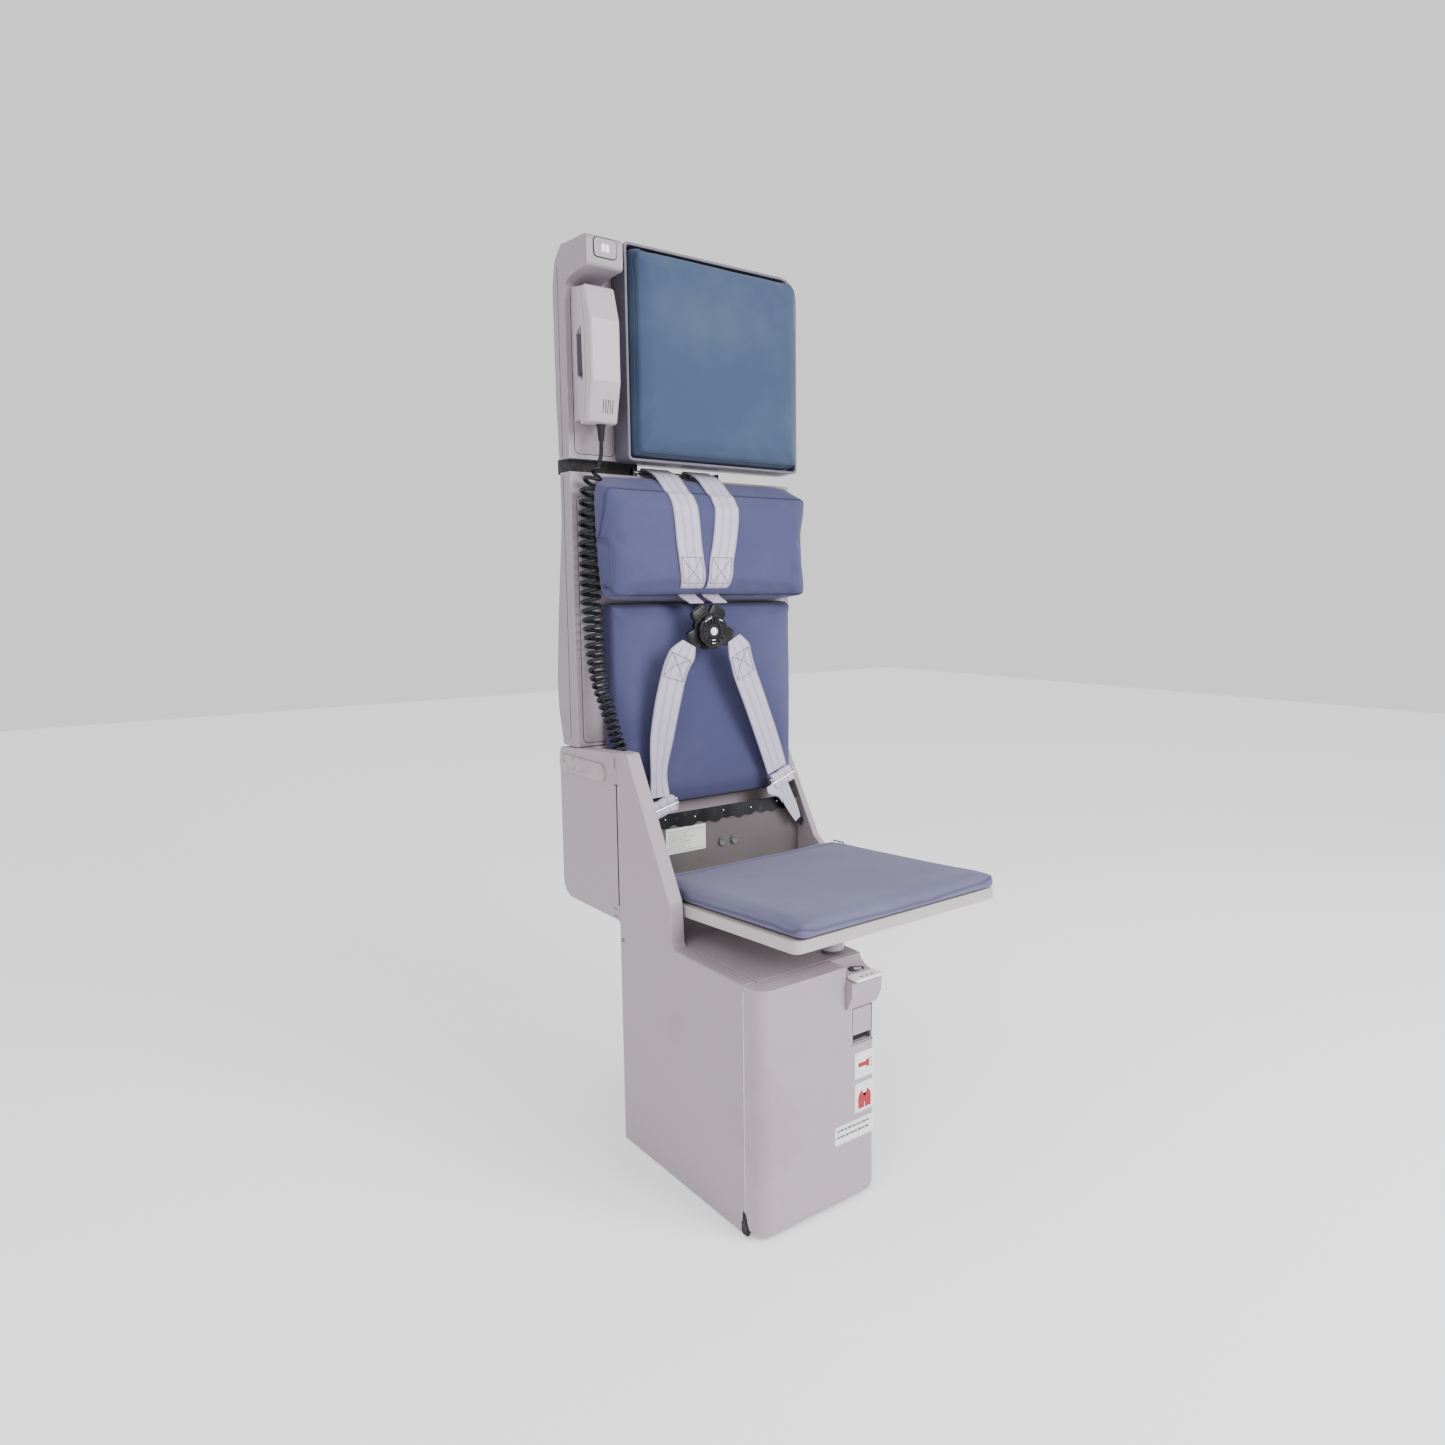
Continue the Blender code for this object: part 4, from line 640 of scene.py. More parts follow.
def plump(piece, voxel, pressure, cap, resting, dents=0.0007, seed=0.0):
    """Fills the cover: cloth blown up round the foam with its resting points held, capped, smoothed and dented."""
    bpy.ops.object.select_all(action="DESELECT")
    piece.select_set(True)
    bpy.context.view_layer.objects.active = piece
    piece.data.remesh_voxel_size = voxel
    bpy.ops.object.voxel_remesh()
    start = [v.co.copy() for v in piece.data.vertices]
    held = piece.vertex_groups.new(name="resting")
    held.add([v.index for v in piece.data.vertices if resting(v.co)], 1.0, "REPLACE")
    cloth = piece.modifiers.new("cloth", "CLOTH")
    cloth.settings.quality = 3
    cloth.settings.mass = 0.3
    cloth.settings.tension_stiffness = 12
    cloth.settings.compression_stiffness = 12
    cloth.settings.bending_stiffness = 1.5
    cloth.settings.use_pressure = True
    cloth.settings.uniform_pressure_force = pressure
    cloth.settings.vertex_group_mass = "resting"
    cloth.settings.effector_weights.gravity = 0
    cloth.collision_settings.use_collision = False
    for step in range(1, PUFF_STEPS + 1):
        bpy.context.scene.frame_set(step)
    bpy.ops.object.modifier_apply(modifier="cloth")
    bpy.context.scene.frame_set(1)
    for vert, place in zip(piece.data.vertices, start):
        moved = vert.co - place
        if moved.length > cap:
            vert.co = place + moved * (cap / moved.length)
    relax = piece.modifiers.new("relax", "SMOOTH")
    relax.iterations = 2
    relax.factor = 0.5
    finer = piece.modifiers.new("finer", "SUBSURF")
    finer.levels = 2
    finer.render_levels = 2
    apply_all(piece)
    for vert, normal in zip(piece.data.vertices, outward(piece)):
        if not resting(vert.co):
            spot = vert.co * 9 + Vector((seed, seed, seed))
            vert.co += normal * dents * (noise.noise(spot) + 0.5 * noise.noise(spot * 2.7))
    return piece


def press_in(piece, path, depth, width):
    """Pulls a sewn line into the cover: path is a list of points on it."""
    spots = even_path([Vector(p) for p in path], 0.0015)
    tree = kdtree.KDTree(len(spots))
    for i, spot in enumerate(spots):
        tree.insert(spot, i)
    tree.balance()
    for vert, normal in zip(piece.data.vertices, outward(piece)):
        near = tree.find(vert.co)[2]
        if near < 3 * width:
            vert.co -= normal * depth * math.exp(-(near / width) ** 2)


def on_cover(piece, path, toward, lift=0.0):
    """Moves the path's points along toward until they lie on the cover, then back by lift."""
    toward = Vector(toward)
    bpy.context.view_layer.update()
    found = []
    for place in path:
        hit, spot, _, _ = piece.ray_cast(Vector(place) - toward * 0.08, toward)
        found.append(spot - toward * lift if hit else Vector(place))
    return found


def rounded_path(corners, radii, steps=6, closed=True):
    """Points round a polygon whose corners are arcs."""
    path = []
    count = len(corners)
    for i, (corner, radius) in enumerate(zip(corners, radii)):
        corner = Vector(corner)
        if not closed and i in (0, count - 1):
            path.append(corner)
            continue
        back = (Vector(corners[i - 1]) - corner).normalized()
        ahead = (Vector(corners[(i + 1) % count]) - corner).normalized()
        for k in range(steps + 1):
            t = k / steps
            path.append(corner + back * radius * (1 - t) ** 2 + ahead * radius * t ** 2)
    if closed:
        path.append(path[0].copy())
    return path


def even_path(path, gap):
    """The same path with points about gap apart."""
    found = [path[0]]
    for a, b in zip(path, path[1:]):
        count = max(1, round((b - a).length / gap))
        found += [a.lerp(b, k / count) for k in range(1, count + 1)]
    return found


def corded_seam(name, piece, path, toward, radius, finish, body, depth=0.0012, sink=0.3):
    """A sewn seam with a covered cord in it: the cover is pulled in, and the cord lies in the valley."""
    path = on_cover(piece, even_path(path, 0.004), toward)
    press_in(piece, path, depth, radius * 2.2)
    path = on_cover(piece, path, toward, radius * (1 - 2 * sink))
    bead = cable(name, path, radius, finish)
    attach(bead, body)
    return bead


headrest_cloth = upholstery("headrest_cloth", (0.044, 0.068, 0.128, 1), (0.068, 0.108, 0.158, 1),
                            (0.038, 0.046, 0.098, 1), 0.52)
headrest_cord = upholstery("headrest_seam_cloth", (0.040, 0.062, 0.110, 1), (0.060, 0.095, 0.140, 1),
                           (0.030, 0.040, 0.080, 1), 0.5)
low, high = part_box("headrest_cushion")
headrest = foam_block("headrest_pad", low, high, 0.0025, 1,
                      {(True, True): 0.030, (False, True): 0.010, (True, False): 0.010, (False, False): 0.008}, 0.006)
back_y = high[1]
plump(headrest, 0.009, 4.0, 0.007, lambda co: co.y > back_y - 0.012, 0.0008, 3.0)
SEAM_IN = 0.0080
front_y = low[1]
seam_line = rounded_path([(low[0] + SEAM_IN, front_y, low[2] + SEAM_IN), (high[0] - SEAM_IN, front_y, low[2] + SEAM_IN),
                          (high[0] - SEAM_IN, front_y, high[2] - SEAM_IN),
                          (low[0] + SEAM_IN, front_y, high[2] - SEAM_IN)],
                         [0.012, 0.012, 0.034, 0.014])
corded_seam("headrest_seam", headrest, seam_line, (0, 1, 0), 0.0013, headrest_cord, "seat_frame")
fit_out(headrest, headrest_cloth, "seat_frame", 180)
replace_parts(headrest, "headrest_cushion")

# ---- Lower back cushion and bolster ------------------------------------------------------------------------------
# Two more foam cushions in the same weave, in a violet blue: a flat one that is hooked to the mid shell, and a
# thick one above it that props the shoulders and hides the reel. Its bottom seam and left end show their cord.
seat_cloth = upholstery("seat_cloth", (0.064, 0.066, 0.150, 1), (0.088, 0.092, 0.182, 1), (0.046, 0.045, 0.108, 1), 0.52)
seat_cord = upholstery("seat_seam_cloth", (0.045, 0.046, 0.105, 1), (0.062, 0.064, 0.132, 1), (0.030, 0.030, 0.075, 1), 0.5)
low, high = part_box("lower_back_cushion")
lower = foam_block("lower_back_pad", low, high, 0.0025, 1,
                   {(True, True): 0.010, (False, True): 0.010, (True, False): 0.012, (False, False): 0.012}, 0.007)
lower_back_y = high[1]
plump(lower, 0.010, 4.0, 0.007, lambda co: co.y > lower_back_y - 0.010, 0.0010, 11.0)
front_y = low[1]
seam_line = rounded_path([(low[0] + 0.007, front_y, low[2] + 0.007), (high[0] - 0.007, front_y, low[2] + 0.007),
                          (high[0] - 0.007, front_y, high[2] - 0.006), (low[0] + 0.007, front_y, high[2] - 0.006)],
                         [0.014, 0.014, 0.012, 0.012])
corded_seam("lower_back_seam", lower, seam_line, (0, 1, 0), 0.0012, seat_cord, "seat_frame")
fit_out(lower, seat_cloth, "seat_frame", 180)
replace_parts(lower, "lower_back_cushion")

low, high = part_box("bolster_cushion")
bolster = foam_block("bolster_pad", low, high, 0.0030, 2, {(False, False): 0.014, (True, False): 0.014}, 0.010)
channel_x, channel_y = -0.1835, 0.203  # the curly cord runs down past the bolster's left end here
BACK_RISE = 0.0210
choose(bolster, "FACE", lambda f: True)
bpy.ops.mesh.bisect(plane_co=(0, channel_y, 0), plane_no=(0, 1, 0))
done()
for vert in bolster.data.vertices:
    if vert.co.y > channel_y + 0.001 and vert.co.x < channel_x + 0.004:
        vert.co.x = channel_x + 0.004
for vert in bolster.data.vertices:
    if vert.co.z < low[2] + 0.05 and vert.co.x < low[0] + 0.030 and vert.co.y < channel_y:
        vert.co.x += 0.010 * max(0.0, 1 - (vert.co.z - low[2]) / 0.05)
    if vert.co.z > high[2] - 0.012:
        vert.co.z += BACK_RISE * min(1.0, max(0.0, (vert.co.y - low[1] - 0.020) / 0.050))
bolster_back = high[1]
plump(bolster, 0.009, 4.0, 0.008, lambda co: co.y > bolster_back - 0.012, 0.0016, 23.0)
front_y = low[1]
seam_line = rounded_path([(low[0] + 0.020, front_y, low[2] + 0.0075), (high[0] - 0.008, front_y, low[2] + 0.0075),
                          (high[0] - 0.008, front_y, high[2] - 0.008), (low[0] + 0.0075, front_y, high[2] - 0.008),
                          (low[0] + 0.0075, front_y, low[2] + 0.030)],
                         [0.008, 0.014, 0.014, 0.014, 0.008])
corded_seam("bolster_seam", bolster, seam_line, (0, 1, 0), 0.0014, seat_cord, "seat_frame", 0.0016)
fit_out(bolster, seat_cloth, "seat_frame", 180)
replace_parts(bolster, "bolster_cushion")

# ---- Seat cushion ------------------------------------------------------------------------------------------------
# The thin pad glued on the folding pan, worn and greyed on top. Its cover has a boxed edge with corded seams at the
# left, front and right, and two more corded rows of stitches across the back.
pan_cord = upholstery("pan_seam_cloth", (0.085, 0.080, 0.155, 1), (0.110, 0.108, 0.185, 1), (0.060, 0.055, 0.115, 1), 0.5)
pan_cloth = upholstery("pan_cloth", (0.118, 0.110, 0.198, 1), (0.150, 0.148, 0.232, 1), (0.084, 0.078, 0.150, 1), 0.55)
low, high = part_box("seat_cushion")
SLOPE = math.radians(3.36)
HINGE = Vector((0, 0.140, 0.405))
tilt = Matrix.Translation(HINGE) @ Matrix.Rotation(-SLOPE, 4, "X")
PAD_FOOT = 0.0131
flat_low = Vector((low[0], -0.4565, PAD_FOOT))
flat_high = Vector((high[0], -0.0600, 0.0368))
pad = foam_block("seat_pad", flat_low, flat_high, 0.0016, 2,
                 {(False, False): 0.012, (True, False): 0.014, (False, True): 0.006, (True, True): 0.006}, 0.0050)
plump(pad, 0.0085, 3.0, 0.0045, lambda co: co.z < PAD_FOOT + 0.005, 0.0007, 31.0)
top_z = flat_high[2]
seam_line = rounded_path([(low[0] + 0.0045, -0.068, top_z), (low[0] + 0.0045, -0.4515, top_z),
                          (high[0] - 0.0045, -0.4515, top_z), (high[0] - 0.0045, -0.068, top_z)],
                         [0.004, 0.014, 0.016, 0.004], closed=False)
for place in seam_line:
    if place.y < -0.449:
        place.y += 0.0030 * math.exp(-((place.x - 0.075) / 0.012) ** 2)
seat_seam = corded_seam("seat_seam", pad, seam_line, (0, 0, -1), 0.0012, pan_cord, "seat_pan", 0.0013)
back_rows = []
for k, y in enumerate((-0.092, -0.099)):
    row = [Vector((low[0] + 0.006, y, top_z)), Vector((high[0] - 0.006, y, top_z))]
    back_rows.append(corded_seam(f"seat_back_row_{k + 1}", pad, row, (0, 0, -1), 0.0006, pan_cord, "seat_pan",
                                 0.0009))
fit_out(pad, pan_cloth, "seat_pan", 180)
for piece in (pad, seat_seam, *back_rows):
    piece.data.transform(tilt)
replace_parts(pad, "seat_cushion")

# ---- Folding seat pan --------------------------------------------------------------------------------------------
# A shallow moulded tray with a turned-down rim, on two steel arms that swing on a shaft through the housing. A
# flared foot under its front rests on a rubber pad on the stowage box.
pan_plastic = moulded_plastic("pan_plastic", (0.42, 0.38, 0.385, 1), (0.29, 0.25, 0.255, 1), (0.62, 0.60, 0.58, 1),
                              0.40, rub=0.5)
dress(pan_plastic, "seat_pan", round_over=0)
dress(pan_plastic, "pan_support_boss", round_over=0.0005)
dress(grey_rubber, "pan_stop_pad", round_over=0.0005)

# ---- Back shells -------------------------------------------------------------------------------------------------
# Two moulded shells close the seat's back: one behind the backrest and one behind the headrest, with a pod over the
# handset. Each has a flat face let into it with a painted shadow line round it, and a painted-shade groove down its
# left side.
back_plastic = moulded_plastic("back_plastic", (0.265, 0.225, 0.255, 1), (0.190, 0.160, 0.182, 1), (0.47, 0.44, 0.43, 1), 0.44,
                               cloud=3.5, cover=0.5, rub=0.6, depth=0.45)
dress(back_plastic, "mid_shell", "upper_shell", round_over=0.0022)
upper_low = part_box("upper_shell")[0]
mid_low, mid_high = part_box("mid_shell")
shell_face = mid_low[1]
tray_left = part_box("headrest_tray")[0][0]
for name, x_low, x_high, z_low, z_high in (
        ("upper_face_panel", upper_low[0] + 0.0105, tray_left - 0.0015, 1.1290, 1.3800),
        ("mid_face_panel", mid_low[0] + 0.0115, mid_high[0] - 0.0115, 0.6480, mid_high[2] - 0.0400)):
    shadow_plate(name + "_shadow", (x_low - 0.0010, shell_face - 0.0003, z_low - 0.0010),
                 (x_high + 0.0010, shell_face + 0.0020, z_high + 0.0010), 1, 0.0100)
    face = rounded_plate(name, (x_low, shell_face - 0.0011, z_low), (x_high, shell_face + 0.0010, z_high), 1, 0.0090,
                         0.0007)
    fit_out(face, back_plastic, "seat_frame")
shadow_plate("shell_gap_seal", (upper_low[0] + 0.0050, shell_face + 0.0160, mid_high[2] - 0.0015),
             (-0.0900, shell_face + 0.0560, upper_low[2] + 0.0015), 2, 0.0040, 0.0006)
# Painted shade: a thin dark strip down each shell's left side stands for its groove.
for name, low_z, high_z in (("upper_side_groove_shade", 1.1260, 1.4260), ("mid_side_groove_shade", 0.6540, 1.0940)):
    shadow_plate(name, (upper_low[0] - 0.0002, shell_face + 0.0235, low_z),
                 (upper_low[0] + 0.0015, shell_face + 0.0246, high_z), 0, 0.0004, segments=2)
white_gloss = mottled_finish("white_gloss", (0.80, 0.79, 0.76, 1), (0.62, 0.60, 0.57, 1), 60.0, 0.42, 0.3,
                             gloss=(0.25, 0.5))

# ---- Sign plate on the pod -----------------------------------------------------------------------------------------
# A small plate let into the pod's sloping front, in the same grey as the shell, with a line of painted shade round its
# rim.
# Two plain white marks stand where its symbol would be.
sign_low, sign_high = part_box("sign_plate")
dress(back_plastic, "sign_plate", round_over=0.0005)
# Painted shade round the sign plate's rim.
shadow_plate("pod_sign_rim_shade", (sign_low[0] - 0.0012, sign_low[1] + 0.0004, sign_low[2] - 0.0012),
             (sign_high[0] + 0.0012, sign_high[1] + 0.0002, sign_high[2] + 0.0012), 1, 0.0070, 0.0004)
middle_x = (sign_low[0] + sign_high[0]) / 2
middle_z = (sign_low[2] + sign_high[2]) / 2
for k, dx in enumerate((-0.0036, 0.0036)):
    mark = rounded_plate(f"pod_sign_mark_{k + 1}", (middle_x + dx - 0.0028, sign_low[1] - 0.0003, middle_z - 0.0058),
                         (middle_x + dx + 0.0028, sign_low[1] + 0.0002, middle_z + 0.0058), 1, 0.0012)
    fit_out(mark, white_gloss, "seat_frame")

# ---- Stowage door ------------------------------------------------------------------------------------------------
# The box's whole front is a moulded door on a long pin, with a torch holder moulded into its top corner, a pull
# paddle in a finger cup, and stuck-on cards that show what is inside without a word on them.
door_plastic = moulded_plastic("door_plastic", (0.345, 0.285, 0.318, 1), (0.250, 0.202, 0.225, 1),
                               (0.53, 0.49, 0.475, 1), 0.46, cloud=6.0)
dress(door_plastic, "front_door", "latch_cup")
dress(door_plastic, "torch_scoop", "latch_paddle", round_over=0.0006)
dress(white_gloss, "torch_tab", round_over=0)
paddle_low, paddle_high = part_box("latch_paddle")
box_low, box_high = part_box("base_box_shell")
seam_rear = box_low[1]
# Painted shade: thin dark strips in the seam between the box and the door, down its left and along its top.
door_gap_shades = [("door_gap_shade_left", (box_low[0] + 0.0010, seam_rear - 0.0013, 0.0060),
            (box_low[0] + 0.0034, seam_rear + 0.0001, box_high[2] - 0.004)),
           ("door_gap_shade_top", (box_low[0] + 0.0034, seam_rear - 0.0013, box_high[2] - 0.0036),
            (box_high[0] - 0.060, seam_rear + 0.0001, box_high[2] - 0.0010))]
for name, low, high in door_gap_shades:
    shadow_plate(name, low, high, 2, 0.0003, segments=2)
face_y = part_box("front_door")[0][1]
# Painted shade: thin dark plates in the slits round the paddle and in the groove under it, and a dark plate of painted
# shade in the finger cup.
paddle_gap_shades = [("paddle_gap_shade_left", (paddle_low[0] - 0.0010, paddle_low[2]), (paddle_low[0] - 0.0002, paddle_high[2])),
                ("paddle_gap_shade_right", (paddle_high[0] + 0.0002, paddle_low[2]),
                 (paddle_high[0] + 0.0010, paddle_high[2])),
                ("paddle_gap_shade_top", (paddle_low[0] - 0.0010, paddle_high[2] + 0.0002),
                 (paddle_high[0] + 0.0010, paddle_high[2] + 0.0010))]
for name, low, high in paddle_gap_shades:
    shadow_plate(name, (low[0], face_y - 0.0001, low[1]), (high[0], face_y + 0.0010, high[1]), 1, 0.0002, segments=2,
                 body="front_door")
shadow_plate("door_groove_shade", (paddle_low[0] - 0.0040, face_y - 0.0001, 0.2454),
             (paddle_high[0] + 0.0040, face_y + 0.001, 0.2466), 1, 0.0004, segments=2, body="front_door")
shadow_plate("cup_shade", (paddle_low[0] + 0.0006, face_y + 0.0075, 0.2490),
             (paddle_high[0] - 0.0006, face_y + 0.0085, paddle_low[2] + 0.004), 1, 0.001, body="front_door")
symbol_red = mottled_finish("symbol_red", (0.34, 0.0, 0.010, 1), (0.26, 0.004, 0.012, 1), 90.0, Roughness=0.45)
sticker = mottled_finish("sticker_film", (0.76, 0.73, 0.72, 1), (0.60, 0.55, 0.55, 1), 35.0, 0.42, 0.4,
                         gloss=(0.35, 0.55), Coat_Weight=0.3, Coat_Roughness=0.2)
CARDS = [("torch_card", -0.0545, -0.0165, 0.191, 0.231), ("vest_card", -0.0545, -0.0165, 0.139, 0.184),
         ("notice_card", -0.0930, -0.0165, 0.101, 0.129)]
FILM_T = 0.0002
for name, x_low, x_high, z_low, z_high in CARDS:
    film = rounded_plate(name, (x_low, face_y - 0.0004, z_low), (x_high, face_y + 0.0002, z_high), 1, 0.0025)
    fit_out(film, sticker, "front_door")


def symbol(name, outline_points):
    """A flat red shape cut from film: an outline in x and z on the door's face, drawn out by FILM_T."""
    bpy.ops.object.select_all(action="DESELECT")
    bpy.ops.mesh.primitive_circle_add(vertices=len(outline_points), radius=0.01, fill_type="NGON")
    piece = bpy.context.object
    piece.name = name
    piece.data.name = name
    for vert, (x, z) in zip(piece.data.vertices, outline_points):
        vert.co = Vector((x, face_y - 0.00045, z))
    bpy.ops.object.transform_apply(location=True, rotation=True, scale=True)
    choose(piece, "FACE", lambda f: True)
    bpy.ops.mesh.extrude_region_move(TRANSFORM_OT_translate={"value": (0, -FILM_T, 0)})
    done()
    return fit_out(piece, symbol_red, "front_door")


torch_x, torch_z = -0.0480, 0.2115
TORCH_OUTLINE = [(0, -0.0032), (0.0140, -0.0032), (0.0185, -0.0062), (0.0215, -0.0062), (0.0215, 0.0062),
                 (0.0185, 0.0062), (0.0140, 0.0032), (0, 0.0032)]
symbol("torch_symbol", [(torch_x + x, torch_z + z) for x, z in TORCH_OUTLINE])
for k in range(3):
    ray_z = torch_z + 0.0048 * (k - 1)
    spread = 0.0012 * (k - 1)
    symbol(f"torch_ray_{k + 1}", [(torch_x + 0.0232, ray_z - 0.0006), (torch_x + 0.0272, ray_z - 0.0006 + spread),
                                  (torch_x + 0.0272, ray_z + 0.0006 + spread), (torch_x + 0.0232, ray_z + 0.0006)])
vest_x, vest_z = -0.0355, 0.1440
VEST_OUTLINE = [(-0.0110, 0), (-0.0118, 0.018), (-0.0100, 0.027), (-0.0060, 0.0330), (-0.0040, 0.0345),
                (-0.0030, 0.0270), (0.0022, 0.0225), (0, 0.0212), (-0.0022, 0.0225), (0.0030, 0.0270), (0.0040, 0.0345),
                (0.0060, 0.0330), (0.0100, 0.027), (0.0118, 0.018), (0.0110, 0), (0.0006, 0), (0.0006, 0.0100),
                (-0.0006, 0.0100), (-0.0006, 0)]
symbol("vest_symbol", [(vest_x + x * 1.1, vest_z + z * 0.82) for x, z in VEST_OUTLINE])
random.seed(3)
for row, z in enumerate((0.1205, 0.1110)):
    x = -0.0890
    for k in range(9):
        run = 0.0035 + 0.0050 * random.random()
        if x + run > -0.0200:
            break
        dash = start_block(f"notice_dash_{row + 1}_{k + 1}", (x, face_y - 0.00065, z),
                           (x + run, face_y - 0.0003, z + 0.0032))
        fit_out(dash, ink, "front_door")
        x += run + 0.0016

# ---- Torch holder ------------------------------------------------------------------------------------------------
# The holder's curved lip hides the torch's tail: a slot of painted shade with a bright steel spring in it, and the
# white pull tab under the slot, which carries three plain dashes.
tab_low, tab_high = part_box("torch_tab")
slot_place = Vector((-0.0350, -0.2470, 0.3512))
slot_turn = (Matrix.Translation(slot_place) @ Matrix.Rotation(math.radians(38), 4, "X")
             @ Matrix.Rotation(math.radians(-12), 4, "Z") @ Matrix.Translation(-slot_place))
# The slot is a dark plate of painted shade; the spring clip is real steel.
for name, low, high, radius, finish, slot in (
        ("torch_slot_shade", (0.0150, 0.0045, 0.0010), (0.0110, 0.0045, 0.0010), 0.0040, shadow, "dark_plastic"),
        ("torch_spring_clip", (0.0075, 0.0024, 0.0012), (0.0065, 0.0024, 0.0016), 0.0018, bright_steel, "steel")):
    piece = rounded_plate(name, slot_place - Vector(low), slot_place + Vector(high), 2, radius)
    piece.data.transform(slot_turn)
    fit_out(piece, finish, "front_door")
for k in range(3):
    x = tab_low[0] + 0.012 + 0.010 * k
    dash = start_block(f"tab_dash_{k + 1}", (x, tab_low[1] + 0.006, tab_high[2] - 0.0002),
                       (x + 0.006, tab_low[1] + 0.009, tab_high[2] + 0.0002))
    fit_out(dash, ink, "front_door")

# ---- Chipped corner ------------------------------------------------------------------------------------------------
# Where trolleys strike the foot of the door beside its hinge, the skin has come away in a ragged patch.
bpy.ops.object.select_all(action="DESELECT")
centre = Vector((face_x + 0.0030, -0.2235, 0.0170))
bpy.ops.mesh.primitive_ico_sphere_add(subdivisions=4, radius=0.0120, location=centre)
chip = bpy.context.object
chip.name = "chipped_corner"
bpy.ops.object.transform_apply(location=True, rotation=True, scale=True)
for vert in chip.data.vertices:
    away = vert.co - centre
    away.z *= 1.7
    away.x *= 0.42
    away.y *= 0.75
    vert.co = centre + away * (1 + 0.35 * noise.noise(vert.co * 260))
    vert.co.z = max(vert.co.z, 0.0008)  # clear of the floor
fit_out(chip, shadow, "seat_frame")

# ---- Stowed equipment ----------------------------------------------------------------------------------------------
# A torch lies on the shelf and a life vest lies folded in its red coated-cloth pouch on the box's floor.
# The pouch is sewn from two panels with a flap.
torch_plastic = moulded_plastic("torch_plastic", (0.020, 0.020, 0.022, 1), (0.05, 0.05, 0.05, 1), (0.12, 0.12, 0.12, 1), 0.35,
                                cloud=30.0, pebble=900.0)
dress(torch_plastic, "torch_body", round_over=0)
low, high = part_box("life_vest_pouch")
pouch = foam_block("vest_pouch", low, high, 0.004, 2,
                   {(right, rear): 0.03 for right in (False, True) for rear in (False, True)}, 0.022)
plump(pouch, 0.009, 4.0, 0.004, lambda co: co.z < low[2] + 0.012, 0.0022, 41.0)
vest_cloth = upholstery("vest_cloth", (0.42, 0.030, 0.020, 1), (0.52, 0.06, 0.04, 1), (0.28, 0.02, 0.015, 1), 0.5, 900.0)
flap_line = [(low[0] + 0.02, low[1] + 0.09, high[2] - 0.004), (high[0] - 0.02, low[1] + 0.09, high[2] - 0.004)]
press_in(pouch, flap_line, 0.004, 0.006)
fit_out(pouch, vest_cloth, "seat_frame", 180)
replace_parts(pouch, "life_vest_pouch")

# ---- Shoulder and lap straps ---------------------------------------------------------------------------------------
# Fifty millimetre polyester webbing in a pale lilac grey, ribbed along its length with a tight selvedge.
# The shoulder straps come up from the reel, over the guide bar and the bolster; each end is folded through its
# tongue and sewn down with a crossed box of thread.
WEB_T = 0.0016
WEB_WIDTH = 0.050
ROWS_PER_SPAN = 6


def rib_group():
    """Ribs along a strap from its own unwrapping in metres: across is U and along is V."""
    group, ins, outs = new_group("webbing_ribs", [("Ribs", "Float", 620), ("Picks", "Float", 480), ("Depth", "Float", 0.0003),
                                                  ("Strength", "Float", 0.6), ("Width", "Float", 0.050)],
                                 [("Normal", "Vector"), ("Height", "Float"), ("Selvedge", "Float")])
    lie = add_node(group, "ShaderNodeUVMap")
    place = add_node(group, "ShaderNodeSeparateXYZ", {0: lie.outputs["UV"]})
    waves = []
    for axis, pitch in ((0, "Ribs"), (1, "Picks")):
        step = add_node(group, "ShaderNodeMath", {0: place.outputs[axis], 1: ins[pitch]}, operation="MULTIPLY")
        angle = add_node(group, "ShaderNodeMath", {0: step.outputs[0], 1: math.tau}, operation="MULTIPLY")
        waves.append(add_node(group, "ShaderNodeMath", {0: angle.outputs[0]}, operation="SINE"))
    fine = add_node(group, "ShaderNodeMath", {0: waves[1].outputs[0], 1: 0.35}, operation="MULTIPLY")
    both = add_node(group, "ShaderNodeMath", {0: waves[0].outputs[0], 1: fine.outputs[0]}, operation="ADD")
    height = add_node(group, "ShaderNodeMapRange", {"Value": both.outputs[0], "From Min": -1.35, "From Max": 1.35})
    bump = add_node(group, "ShaderNodeBump", {"Height": height.outputs["Result"], "Distance": ins["Depth"],
                                              "Strength": ins["Strength"]})
    half = add_node(group, "ShaderNodeMath", {0: ins["Width"], 1: 0.5}, operation="MULTIPLY")
    off = add_node(group, "ShaderNodeMath", {0: place.outputs[0], 1: half.outputs[0]}, operation="SUBTRACT")
    away = add_node(group, "ShaderNodeMath", {0: off.outputs[0]}, operation="ABSOLUTE")
    share = add_node(group, "ShaderNodeMath", {0: away.outputs[0], 1: half.outputs[0]}, operation="DIVIDE")
    edge = add_node(group, "ShaderNodeMapRange", {"Value": share.outputs[0], "From Min": 0.84, "From Max": 0.96})
    group.links.new(bump.outputs["Normal"], outs.inputs["Normal"])
    group.links.new(height.outputs["Result"], outs.inputs["Height"])
    group.links.new(edge.outputs["Result"], outs.inputs["Selvedge"])
    return group


RIBS = rib_group()


